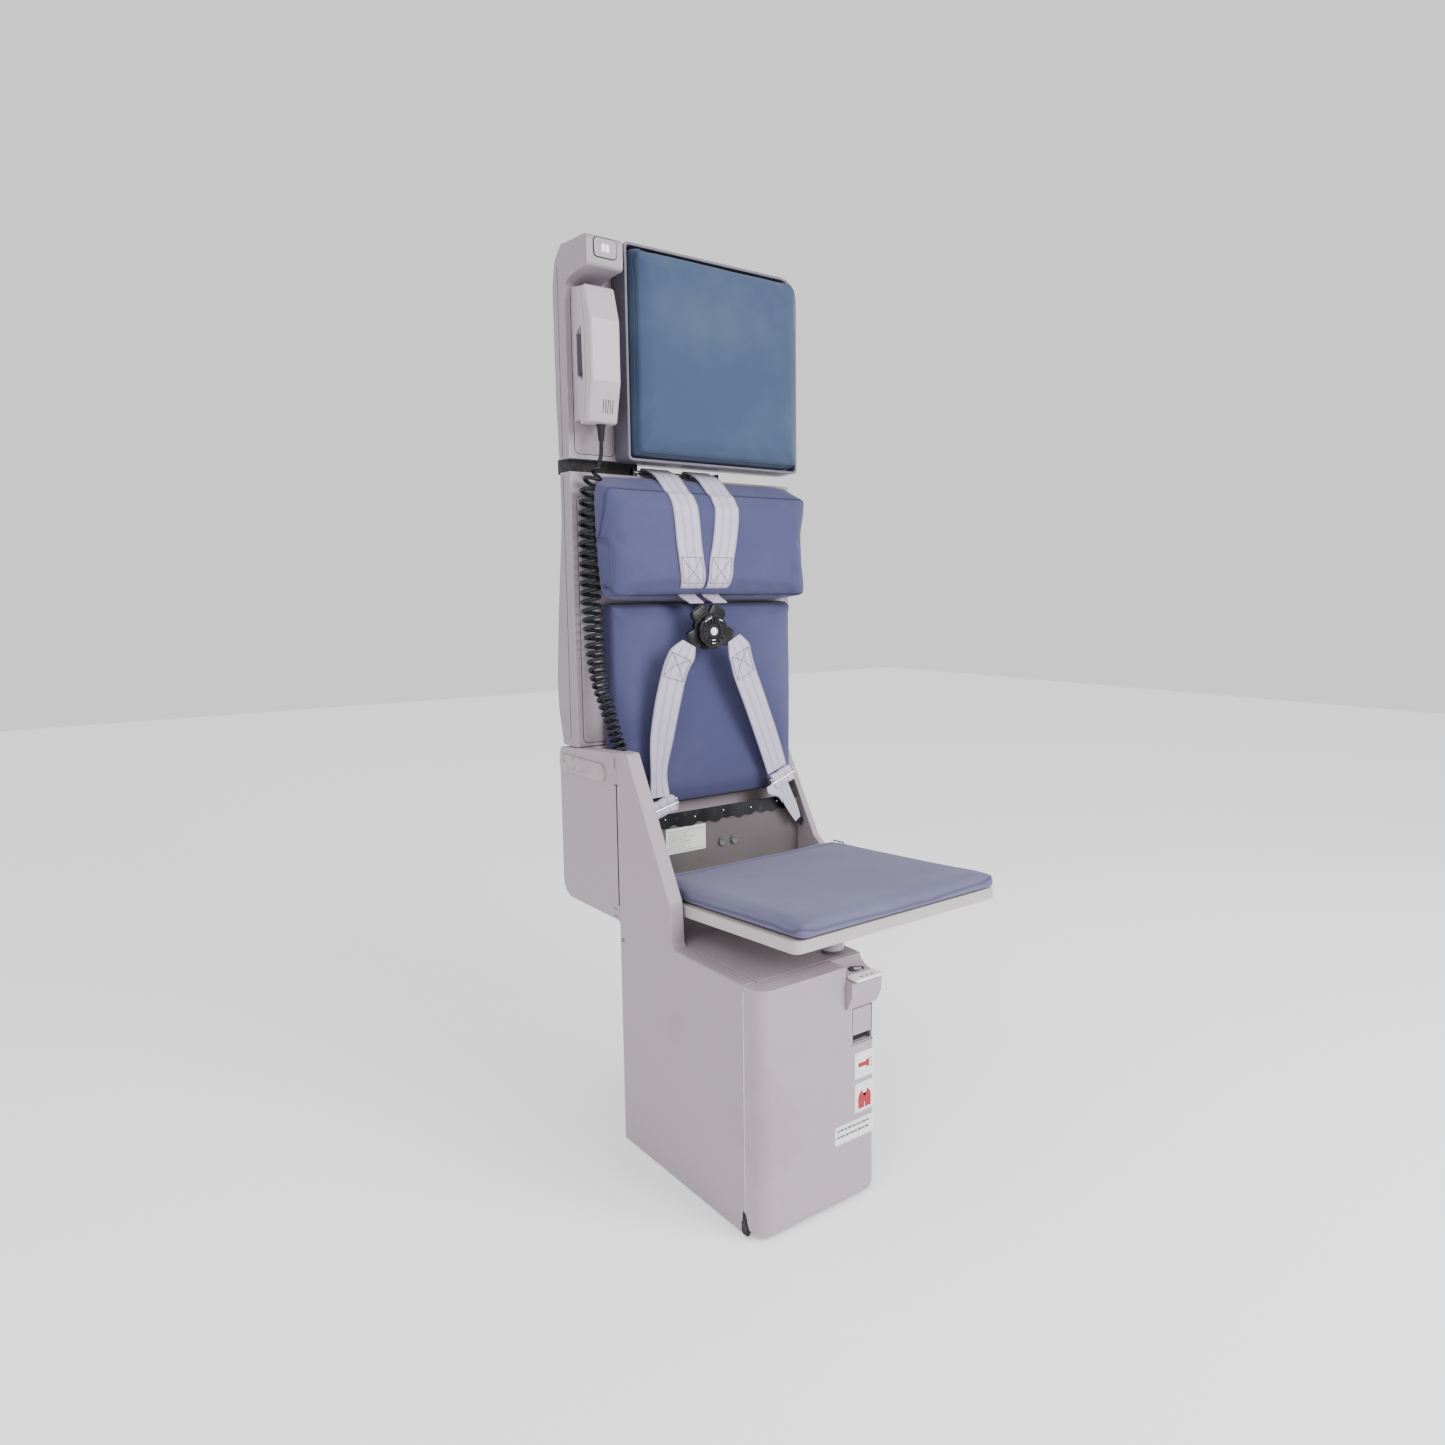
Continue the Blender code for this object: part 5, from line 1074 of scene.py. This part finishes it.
def webbing_finish(name, clean, soiled, selvedge):
    """Ribbed webbing in three wide ribs, with painted shade in the grooves between them and in the fine rib valleys,
    and darker along its selvedge.
    """
    finish, tree, shader = new_finish(name, Sheen_Weight=0.25, Sheen_Roughness=0.4, Specular_IOR_Level=0.4)
    ribs = add_node(tree, "ShaderNodeGroup", {"Strength": 0.6}, node_tree=RIBS)
    cloud = mottled(tree, clean, soiled, 14.0, 0.46, 0.35)
    edge = add_node(tree, "ShaderNodeMix", {"Factor": ribs.outputs["Selvedge"], 6: cloud.outputs["Color"], 7: selvedge},
                    data_type="RGBA")
    lie = add_node(tree, "ShaderNodeUVMap")
    place = add_node(tree, "ShaderNodeSeparateXYZ", {0: lie.outputs["UV"]})
    # Painted shade: darker lines along the strap between its three wide ribs, and darker valleys between the fine ribs.
    turn = add_node(tree, "ShaderNodeMath", {0: place.outputs[0], 1: math.tau * 60}, operation="MULTIPLY")
    wave = add_node(tree, "ShaderNodeMath", {0: turn.outputs[0]}, operation="COSINE")
    band = add_node(tree, "ShaderNodeMapRange", {"Value": wave.outputs[0], "From Min": 0.55, "From Max": 0.98,
                                                 "To Max": 0.55})
    edge = add_node(tree, "ShaderNodeMix", {"Factor": band.outputs["Result"], 6: edge.outputs[2], 7: selvedge},
                    data_type="RGBA")
    valley = add_node(tree, "ShaderNodeMix", {"Factor": 1.0, 6: edge.outputs[2], 7: (0.80, 0.79, 0.82, 1)},
                      data_type="RGBA", blend_type="MULTIPLY")
    seen = add_node(tree, "ShaderNodeMix", {"Factor": ribs.outputs["Height"], 6: valley.outputs[2], 7: edge.outputs[2]},
                    data_type="RGBA")
    rough = add_node(tree, "ShaderNodeMapRange", {"Value": cloud.outputs["Mask"], "To Min": 0.55, "To Max": 0.75})
    tree.links.new(seen.outputs[2], shader.inputs["Base Color"])
    tree.links.new(rough.outputs["Result"], shader.inputs["Roughness"])
    tree.links.new(ribs.outputs["Normal"], shader.inputs["Normal"])
    return finish


webbing = webbing_finish("webbing", (0.56, 0.52, 0.63, 1), (0.40, 0.36, 0.47, 1), (0.29, 0.26, 0.36, 1))
thread = mottled_finish("stitch_thread", (0.15, 0.14, 0.20, 1), (0.26, 0.24, 0.31, 1), 700.0, Roughness=0.7)


def web_grid(name, centres, halves, runs, across, even):
    """Webbing through rows of centres and half widths, unwrapped in metres with runs along it, WEB_T thick."""
    bpy.ops.object.select_all(action="DESELECT")
    bpy.ops.mesh.primitive_grid_add(x_subdivisions=across, y_subdivisions=len(centres) - 1, size=1)
    piece = bpy.context.object
    piece.name = name
    cells = {v.index: (v.co.x + 0.5, round((v.co.y + 0.5) * (len(centres) - 1))) for v in piece.data.vertices}
    for vert in piece.data.vertices:
        u, row = cells[vert.index]
        vert.co = centres[row] + halves[row] * (2 * u - 1)
    layer = piece.data.uv_layers.active.data
    for loop in piece.data.loops:
        u, row = cells[loop.vertex_index]
        layer[loop.index].uv = (u * WEB_WIDTH, runs[row])
    thick = piece.modifiers.new("thickness", "SOLIDIFY")
    thick.thickness = WEB_T
    thick.offset = 0
    thick.use_even_offset = even
    return fit_out(piece, webbing, "seat_frame", 50)


def strap(name, route, node):
    """A harness strap along (centre, half width) pairs, in place of a frame node."""
    centres = smooth_route([c for c, _ in route], ROWS_PER_SPAN)
    halves = smooth_route([h for _, h in route], ROWS_PER_SPAN)
    spans = [0.0]
    for a, b in zip(centres, centres[1:]):
        spans.append(spans[-1] + (b - a).length)
    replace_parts(web_grid(name, centres, halves, spans, 8, True), node)
    return centres, halves


def cross_stitch(name, centres, halves, first, last):
    """A box with a cross in it, sewn through the strap between two rows, on the strap's front."""
    def spot(u, v):
        at = first + (last - first) * v
        row = min(int(at), len(centres) - 2)
        centre = centres[row].lerp(centres[row + 1], at - row)
        return centre + halves[row] * u - Vector((0, WEB_T / 2 + 0.0001, 0))
    data = bpy.data.curves.new(name, "CURVE")
    data.dimensions = "3D"
    data.bevel_depth = 0.00065
    data.bevel_resolution = 1
    edge = 0.80
    count = 6
    for a, b in (((-edge, 0), (edge, 0)), ((edge, 0), (edge, 1)), ((edge, 1), (-edge, 1)), ((-edge, 1), (-edge, 0)),
                 ((-edge, 0), (edge, 1)), ((edge, 0), (-edge, 1))):
        spline = data.splines.new("POLY")
        spline.points.add(count)
        for k in range(count + 1):
            share = k / count
            spline.points[k].co = (*spot(a[0] + (b[0] - a[0]) * share, a[1] + (b[1] - a[1]) * share), 1)
    data.materials.append(thread)
    piece = bpy.data.objects.new(name, data)
    bpy.context.scene.collection.objects.link(piece)
    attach(piece, "seat_frame")


HALF_WEB = WEB_WIDTH / 2
WEB_REST = 0.0014  # the webbing's middle stands this far off the bolster
bpy.context.view_layer.update()
for side, top_x, mid_x, end_x in (("left", -0.0610, -0.0510, -0.0420), ("right", 0.0240, 0.0105, 0.0060)):
    middle = Vector((top_x, 0.205, 1.030))
    route = [((top_x, 0.270, 1.032), HALF_WEB), ((top_x, 0.2648, 1.1010), HALF_WEB), ((top_x, 0.2625, 1.1113), HALF_WEB),
             ((top_x, 0.2560, 1.1142), HALF_WEB), ((top_x, 0.2390, 1.1085), HALF_WEB), ((top_x, 0.2150, 1.0985), HALF_WEB)]
    for turn in (12, 28, 42, 52, 62, 74):
        out = Vector((0, -math.sin(math.radians(turn)), math.cos(math.radians(turn))))
        reach = []
        for dx in (-0.02, 0, 0.02):
            hit, spot, _, _ = bolster.ray_cast(middle + Vector((dx, 0, 0)) + out * 0.1, -out)
            reach.append((spot - middle - Vector((dx, 0, 0))).dot(out) if hit else 0.045)
        route.append((tuple(middle + out * (max(reach) + WEB_REST)), HALF_WEB))
    for z, x, half in ((1.020, top_x * 0.8 + mid_x * 0.2, HALF_WEB), (0.985, top_x * 0.45 + mid_x * 0.55, HALF_WEB),
                       (0.955, mid_x, HALF_WEB), (0.930, mid_x + (end_x - mid_x) * 0.4, HALF_WEB),
                       (0.912, mid_x + (end_x - mid_x) * 0.7, HALF_WEB * 0.94), (0.898, end_x, HALF_WEB * 0.74)):
        reach = []
        for dx in (-0.02, 0, 0.02):
            hit, spot, _, _ = bolster.ray_cast(Vector((x + dx, 0.10, z)), Vector((0, 1, 0)))
            reach.append(spot.y if hit else 0.163)
        route.append(((x, min(reach) - WEB_REST, z), half))
    route.append(((end_x, 0.1570, 0.8835), HALF_WEB * 0.60))
    route = [(Vector(place), Vector((half, 0, 0))) for place, half in route]
    centres, halves = strap("shoulder_web_" + side, route, "shoulder_strap_" + side)
    end = len(centres) - 1
    cross_stitch(f"shoulder_stitch_{side}", centres, halves, end - 4.2 * ROWS_PER_SPAN, end - 2.3 * ROWS_PER_SPAN)
laps = {
    "left": [((-0.0600, 0.1552, 0.8145), (0.0130, 0, -0.0070)), ((-0.0725, 0.1550, 0.798), (0.0225, 0, -0.0105)),
             ((-0.0800, 0.1580, 0.784), (0.0235, 0, -0.0095)), ((-0.0870, 0.162, 0.762), (0.0235, 0, -0.0080)),
             ((-0.0965, 0.170, 0.709), (0.0245, 0, -0.0050)), ((-0.1025, 0.180, 0.650), (0.0235, 0.001, -0.0025)),
             ((-0.1050, 0.188, 0.590), (0.0200, 0.0060, 0)), ((-0.1020, 0.191, 0.5480), (0.0210, 0.0020, 0))],
    "right": [((0.0335, 0.1552, 0.8205), (0.0130, 0, 0.0070)), ((0.0440, 0.1550, 0.800), (0.0215, 0, 0.0115)),
              ((0.0500, 0.1575, 0.786), (0.0220, 0, 0.0110)), ((0.0600, 0.161, 0.760), (0.0225, 0, 0.0105)),
              ((0.0870, 0.168, 0.706), (0.0221, 0, 0.0106)), ((0.1245, 0.178, 0.628), (0.0221, 0, 0.0106)),
              ((0.1500, 0.1845, 0.5690), (0.0220, 0, 0.0082))],
}
for side, route in laps.items():
    centres, halves = strap("lap_web_" + side, route, "lap_strap_" + side)
    cross_stitch(f"lap_stitch_{side}", centres, halves, 8.0, 19.0)

# ---- Lap adjusters and anchor straps -------------------------------------------------------------------------------
# Each lap strap runs round a sliding bar and back on itself, so all that shows is two thick rolls of webbing with a
# bright bar between them. Below hangs the loose tail, and a short strap goes on down to the anchor hook.
for side, place, lean in (("left", Vector((-0.0985, 0.1895, 0.5300)), 14), ("right", Vector((0.1605, 0.1870, 0.5525)), 20)):
    seat = Matrix.Translation(place) @ Matrix.Rotation(-math.radians(lean), 4, "Y")
    rolls = []
    for k, (low, high) in enumerate((((-0.0255, -0.0085, -0.0010), (0.0255, 0.0070, 0.0150)),
                                     ((-0.0250, -0.0100, -0.0150), (0.0262, 0.0060, -0.0005)))):
        roll = rounded_plate(f"adjuster_roll_{side}_{k + 1}", low, high, 0, 0.0066, 0.0009, 8)
        choose(roll, "EDGE", lambda e: along(e, 0))
        bpy.ops.mesh.subdivide(number_cuts=7)
        done()
        for vert in roll.data.vertices:
            vert.co.z += 0.0009 * math.sin(vert.co.x * 150 + k) + 0.0006 * math.sin(vert.co.x * 410)
            vert.co.y -= 0.0008 * math.cos(vert.co.x * 62)
        layer = roll.data.uv_layers.active or roll.data.uv_layers.new(name="unwrapping")
        for loop in roll.data.loops:
            spot = roll.data.vertices[loop.vertex_index].co
            layer.data[loop.index].uv = (spot.x + 0.025, spot.z - spot.y)
        roll.data.transform(seat)
        fit_out(roll, webbing, "seat_frame", 50)
        rolls.append(roll)
    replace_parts(rolls[0], "lap_adjuster_" + side)
    bar = cylinder("adjuster_bar_" + side, 16, 0.0022, 0.0590, (0, -0.0060, -0.0010), ACROSS)
    choose(bar, "FACE", lambda f: abs(f.normal.x) > 0.9)
    bpy.ops.mesh.inset(thickness=0.0007, depth=0.0006)
    done()
    bar.data.transform(seat)
    fit_out(bar, bright_steel, "seat_frame")
    for k, x in enumerate((-0.0272, 0.0272)):
        cheek = rounded_plate(f"adjuster_cheek_{side}_{k + 1}", (x - 0.0009, -0.0085, -0.0120),
                              (x + 0.0009, 0.0060, 0.0105), 0, 0.0050, 0.0003)
        cheek.data.transform(seat)
        fit_out(cheek, bright_steel, "seat_frame")
SHORT_WEBS = {
    "anchor_web_right": [((0.1590, 0.1830, 0.5420), (0.0130, 0, 0.0045)), ((0.1700, 0.1800, 0.5150), (0.0120, 0, 0.0060)),
                         ((0.1835, 0.1790, 0.4900), (0.0100, 0, 0.0060)), ((0.1950, 0.1790, 0.4680), (0.0060, 0, 0.0040))],
    "loose_tail_right": [((0.1400, 0.1810, 0.5440), (0.0190, 0.0020, 0.0060)),
                         ((0.1370, 0.1770, 0.5320), (0.0180, 0.0050, 0.0040)),
                         ((0.1420, 0.1750, 0.5210), (0.0130, 0.0060, -0.0030)),
                         ((0.1520, 0.1760, 0.5120), (0.0070, 0.0040, -0.0080))],
    "anchor_web_left": [((-0.1080, 0.1870, 0.5170), (0.0080, 0, 0.0100)), ((-0.1350, 0.1850, 0.5020), (0.0060, 0, 0.0100)),
                        ((-0.1650, 0.1840, 0.4840), (0.0050, 0, 0.0090)), ((-0.1930, 0.1830, 0.4640), (0.0040, 0, 0.0070))],
}
for name, route in SHORT_WEBS.items():
    centres = smooth_route([c for c, _ in route], ROWS_PER_SPAN)
    halves = smooth_route([h for _, h in route], ROWS_PER_SPAN)
    web_grid(name, centres, halves, [0.004 * row for row in range(len(centres))], 6, False)

# ---- Rotary buckle -------------------------------------------------------------------------------------------------
# A black moulded body takes four steel tongues; the knob in front is turned either way to let them all go. Its
# face is ribbed for gloved fingers, with a white centre button and white dashes where the words would be.
black_plastic = moulded_plastic("black_plastic", (0.006, 0.006, 0.007, 1), (0.016, 0.016, 0.018, 1),
                                (0.07, 0.07, 0.075, 1), 0.34, cloud=40.0, rub=0.35, pebble=1500.0, depth=0.2)
black_plastic.node_tree.nodes["Principled BSDF"].inputs["Specular IOR Level"].default_value = 0.28
dress(black_plastic, "buckle_body", round_over=0.0012)
body_low, body_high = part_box("buckle_body")
for name in ("shoulder_left", "shoulder_right", "lap_left", "lap_right"):
    tongue_low, tongue_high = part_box("tongue_" + name)
    hub = Vector(((body_low[0] + body_high[0]) / 2, 0, (body_low[2] + body_high[2]) / 2))
    away = Vector(((tongue_low[0] + tongue_high[0]) / 2, 0, (tongue_low[2] + tongue_high[2]) / 2)) - hub
    lobe = rounded_plate("inlet_lobe_" + name, (0.0150, body_low[1] + 0.0022, -0.0165),
                         (away.length + 0.0030, body_high[1] - 0.0008, 0.0165), 1, 0.0060, 0.0018)
    lobe.data.transform(Matrix.Translation(hub) @ Matrix.Rotation(-math.atan2(away.z, away.x), 4, "Y"))
    fit_out(lobe, black_plastic, "seat_frame", 40)
knob_low, knob_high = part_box("buckle_knob")
knob_x = (knob_low[0] + knob_high[0]) / 2
knob_z = (knob_low[2] + knob_high[2]) / 2
knob_r = (knob_high[0] - knob_low[0]) / 2
knob = cylinder("release_knob", 64, knob_r, knob_high[1] - knob_low[1],
                (knob_x, (knob_low[1] + knob_high[1]) / 2, knob_z), FRONT_TO_BACK)
choose(knob, "FACE", lambda f: f.normal.y < -0.9)
bpy.ops.mesh.inset(thickness=0.0042)
bpy.ops.mesh.inset(thickness=0.0020, depth=-0.0022)
bpy.ops.mesh.inset(thickness=0.0085, depth=0)
bpy.ops.mesh.inset(thickness=0.0024, depth=0.0018)
done()
for vert in knob.data.vertices:
    off = Vector((vert.co.x - knob_x, 0, vert.co.z - knob_z))
    if off.length > knob_r - 0.0006:
        angle = math.atan2(off.z, off.x)
        scallop = 1 - 0.075 * max(0.0, math.cos(8 * angle)) ** 3
        vert.co.x = knob_x + off.x * scallop
        vert.co.z = knob_z + off.z * scallop
soften(knob, 0.0008, 3, 40)
fit_out(knob, black_plastic, "buckle_knob")
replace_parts(knob, "buckle_knob")
RIBS_ROUND = 16
RIB_R = 0.0185
for k in range(RIBS_ROUND):
    angle = math.tau * (k + 0.5) / RIBS_ROUND
    centre = Vector((knob_x + RIB_R * math.cos(angle), knob_low[1] + 0.0016, knob_z + RIB_R * math.sin(angle)))
    rib = rounded_plate(f"knob_rib_{k + 1}", (-0.0040, -0.0016, -0.0009), (0.0040, 0.0012, 0.0009), 1, 0.0008, 0.0003, 3)
    rib.data.transform(Matrix.Translation(centre) @ Matrix.Rotation(-angle, 4, "Y"))
    fit_out(rib, black_plastic, "buckle_knob")
button = cylinder("knob_centre_button", 32, 0.0068, 0.0024, (knob_x, knob_low[1] + 0.0003, knob_z), FRONT_TO_BACK)
soften(button, 0.0007, 3)
fit_out(button, white_gloss, "buckle_knob")
KNOB_DASHES = [(128, 0.0238, 35), (118, 0.0238, 35), (108, 0.0238, 35), (52, 0.0238, -25), (268, 0.0150, 0),
               (268, 0.0205, 0)]  # angle round the knob, distance from its middle, lean
for k, (angle, radius, lean) in enumerate(KNOB_DASHES):
    turn = math.radians(angle)
    centre = Vector((knob_x + radius * math.cos(turn), knob_low[1] + 0.0012, knob_z + radius * math.sin(turn)))
    dash = rounded_plate(f"knob_dash_{k + 1}", (-0.0036, -0.0014, -0.0007), (0.0036, 0.0004, 0.0007), 1, 0.0005, 0.0, 2)
    dash.data.transform(Matrix.Translation(centre) @ Matrix.Rotation(-math.radians(lean), 4, "Y"))
    fit_out(dash, white_gloss, "buckle_knob")

# ---- Handset cradle ------------------------------------------------------------------------------------------------
# A moulded block on the shell with two cheeks that the handset lies on, a deep finger recess between them, and a
# sprung plunger in it that the handset holds down.
handset_plastic = moulded_plastic("handset_plastic", (0.385, 0.335, 0.375, 1), (0.29, 0.245, 0.28, 1),
                                  (0.56, 0.52, 0.53, 1), 0.36, cloud=9.0, cover=0.45, rub=0.5, pebble=1300.0,
                                  depth=0.25)


def carve(piece, cutter):
    """Cuts one piece out of another and removes it."""
    step = piece.modifiers.new("carve", "BOOLEAN")
    step.operation = "DIFFERENCE"
    step.solver = "EXACT"
    step.object = cutter
    apply_all(piece)
    bpy.data.objects.remove(cutter)


dress(handset_plastic, "handset_cradle", round_over=0.0016)
cradle_low, cradle_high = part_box("handset_cradle")
recess_y = 0.2330
# Painted shade: a dark plate at the back of the finger recess, with room cut for the plunger.
insert = rounded_plate("finger_recess_shade", (cradle_low[0] + 0.0010, recess_y - 0.0010, 1.2515),
                       (cradle_high[0] - 0.0010, recess_y + 0.0010, 1.3165), 1, 0.0030, 0.0003)
cradle_x = (cradle_low[0] + cradle_high[0]) / 2
carve(insert, start_block("plunger_clearance", (cradle_x - 0.0060, recess_y - 0.0100, 1.2515),
                          (cradle_x + 0.0060, recess_y + 0.0100, 1.2655)))
fit_out(insert, tray_plastic, "seat_frame")
dress(black_plastic, "hook_switch_plunger", "cord_gland", round_over=0)

# ---- Handset -------------------------------------------------------------------------------------------------------
# Two moulded halves screwed together: the outer one has three flats, with sound slots at the foot of the lowest.
# Earpiece, microphone and the talk button face the cradle, and the cord leaves through a rubber boot.


def copy_of(node, name):
    """A merged copy of a frame node, ready to be shaped further."""
    piece = bpy.data.objects.new(name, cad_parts[node].data.copy())
    bpy.context.scene.collection.objects.link(piece)
    choose(piece, "FACE", lambda f: True)
    bpy.ops.mesh.select_all(action="SELECT")
    bpy.ops.mesh.remove_doubles(threshold=0.00001)
    bpy.ops.mesh.dissolve_limited(angle_limit=math.radians(0.8))
    done()
    return piece


outer = copy_of("handset_front_shell", "handset_outer_half")
soften(outer, 0.0016, 8, 24)
apply_all(outer)
shell_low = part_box("handset_front_shell")[0]
foot_y, bend_y, bend_z = 0.186, 0.171, 1.235
slope = math.atan2(foot_y - bend_y, bend_z - shell_low[2])
slot_z = 1.1975
slot_seat = Matrix.Translation((0, bend_y + (bend_z - slot_z) * math.tan(slope), slot_z)) @ Matrix.Rotation(slope, 4, "X")
for k in range(5):
    x = shell_low[0] + 0.0235 + 0.0042 * k
    slot_cut = start_block(f"slot_cut_{k + 1}", (x, -0.0040, -0.0110), (x + 0.0017, 0.0014, 0.0110))
    slot_cut.data.transform(slot_seat)
    carve(outer, slot_cut)
fit_out(outer, handset_plastic, "handset", 12)
# Painted shade: a dark plate behind the sound slots, seen through them.
slot_shade = start_block("slot_shade_backing", (shell_low[0] + 0.0220, 0.0010, -0.0120),
                           (shell_low[0] + 0.0430, 0.0020, 0.0120))
slot_shade.data.transform(slot_seat)
fit_out(slot_shade, shadow, "handset")
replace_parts(outer, "handset_front_shell")
dress(handset_plastic, "handset_rear_shell", round_over=0.0008)
dress(black_plastic, "handset_earpiece", "handset_microphone", "push_to_talk_button", round_over=0)
dress(rubber, "cord_strain_relief", round_over=0)
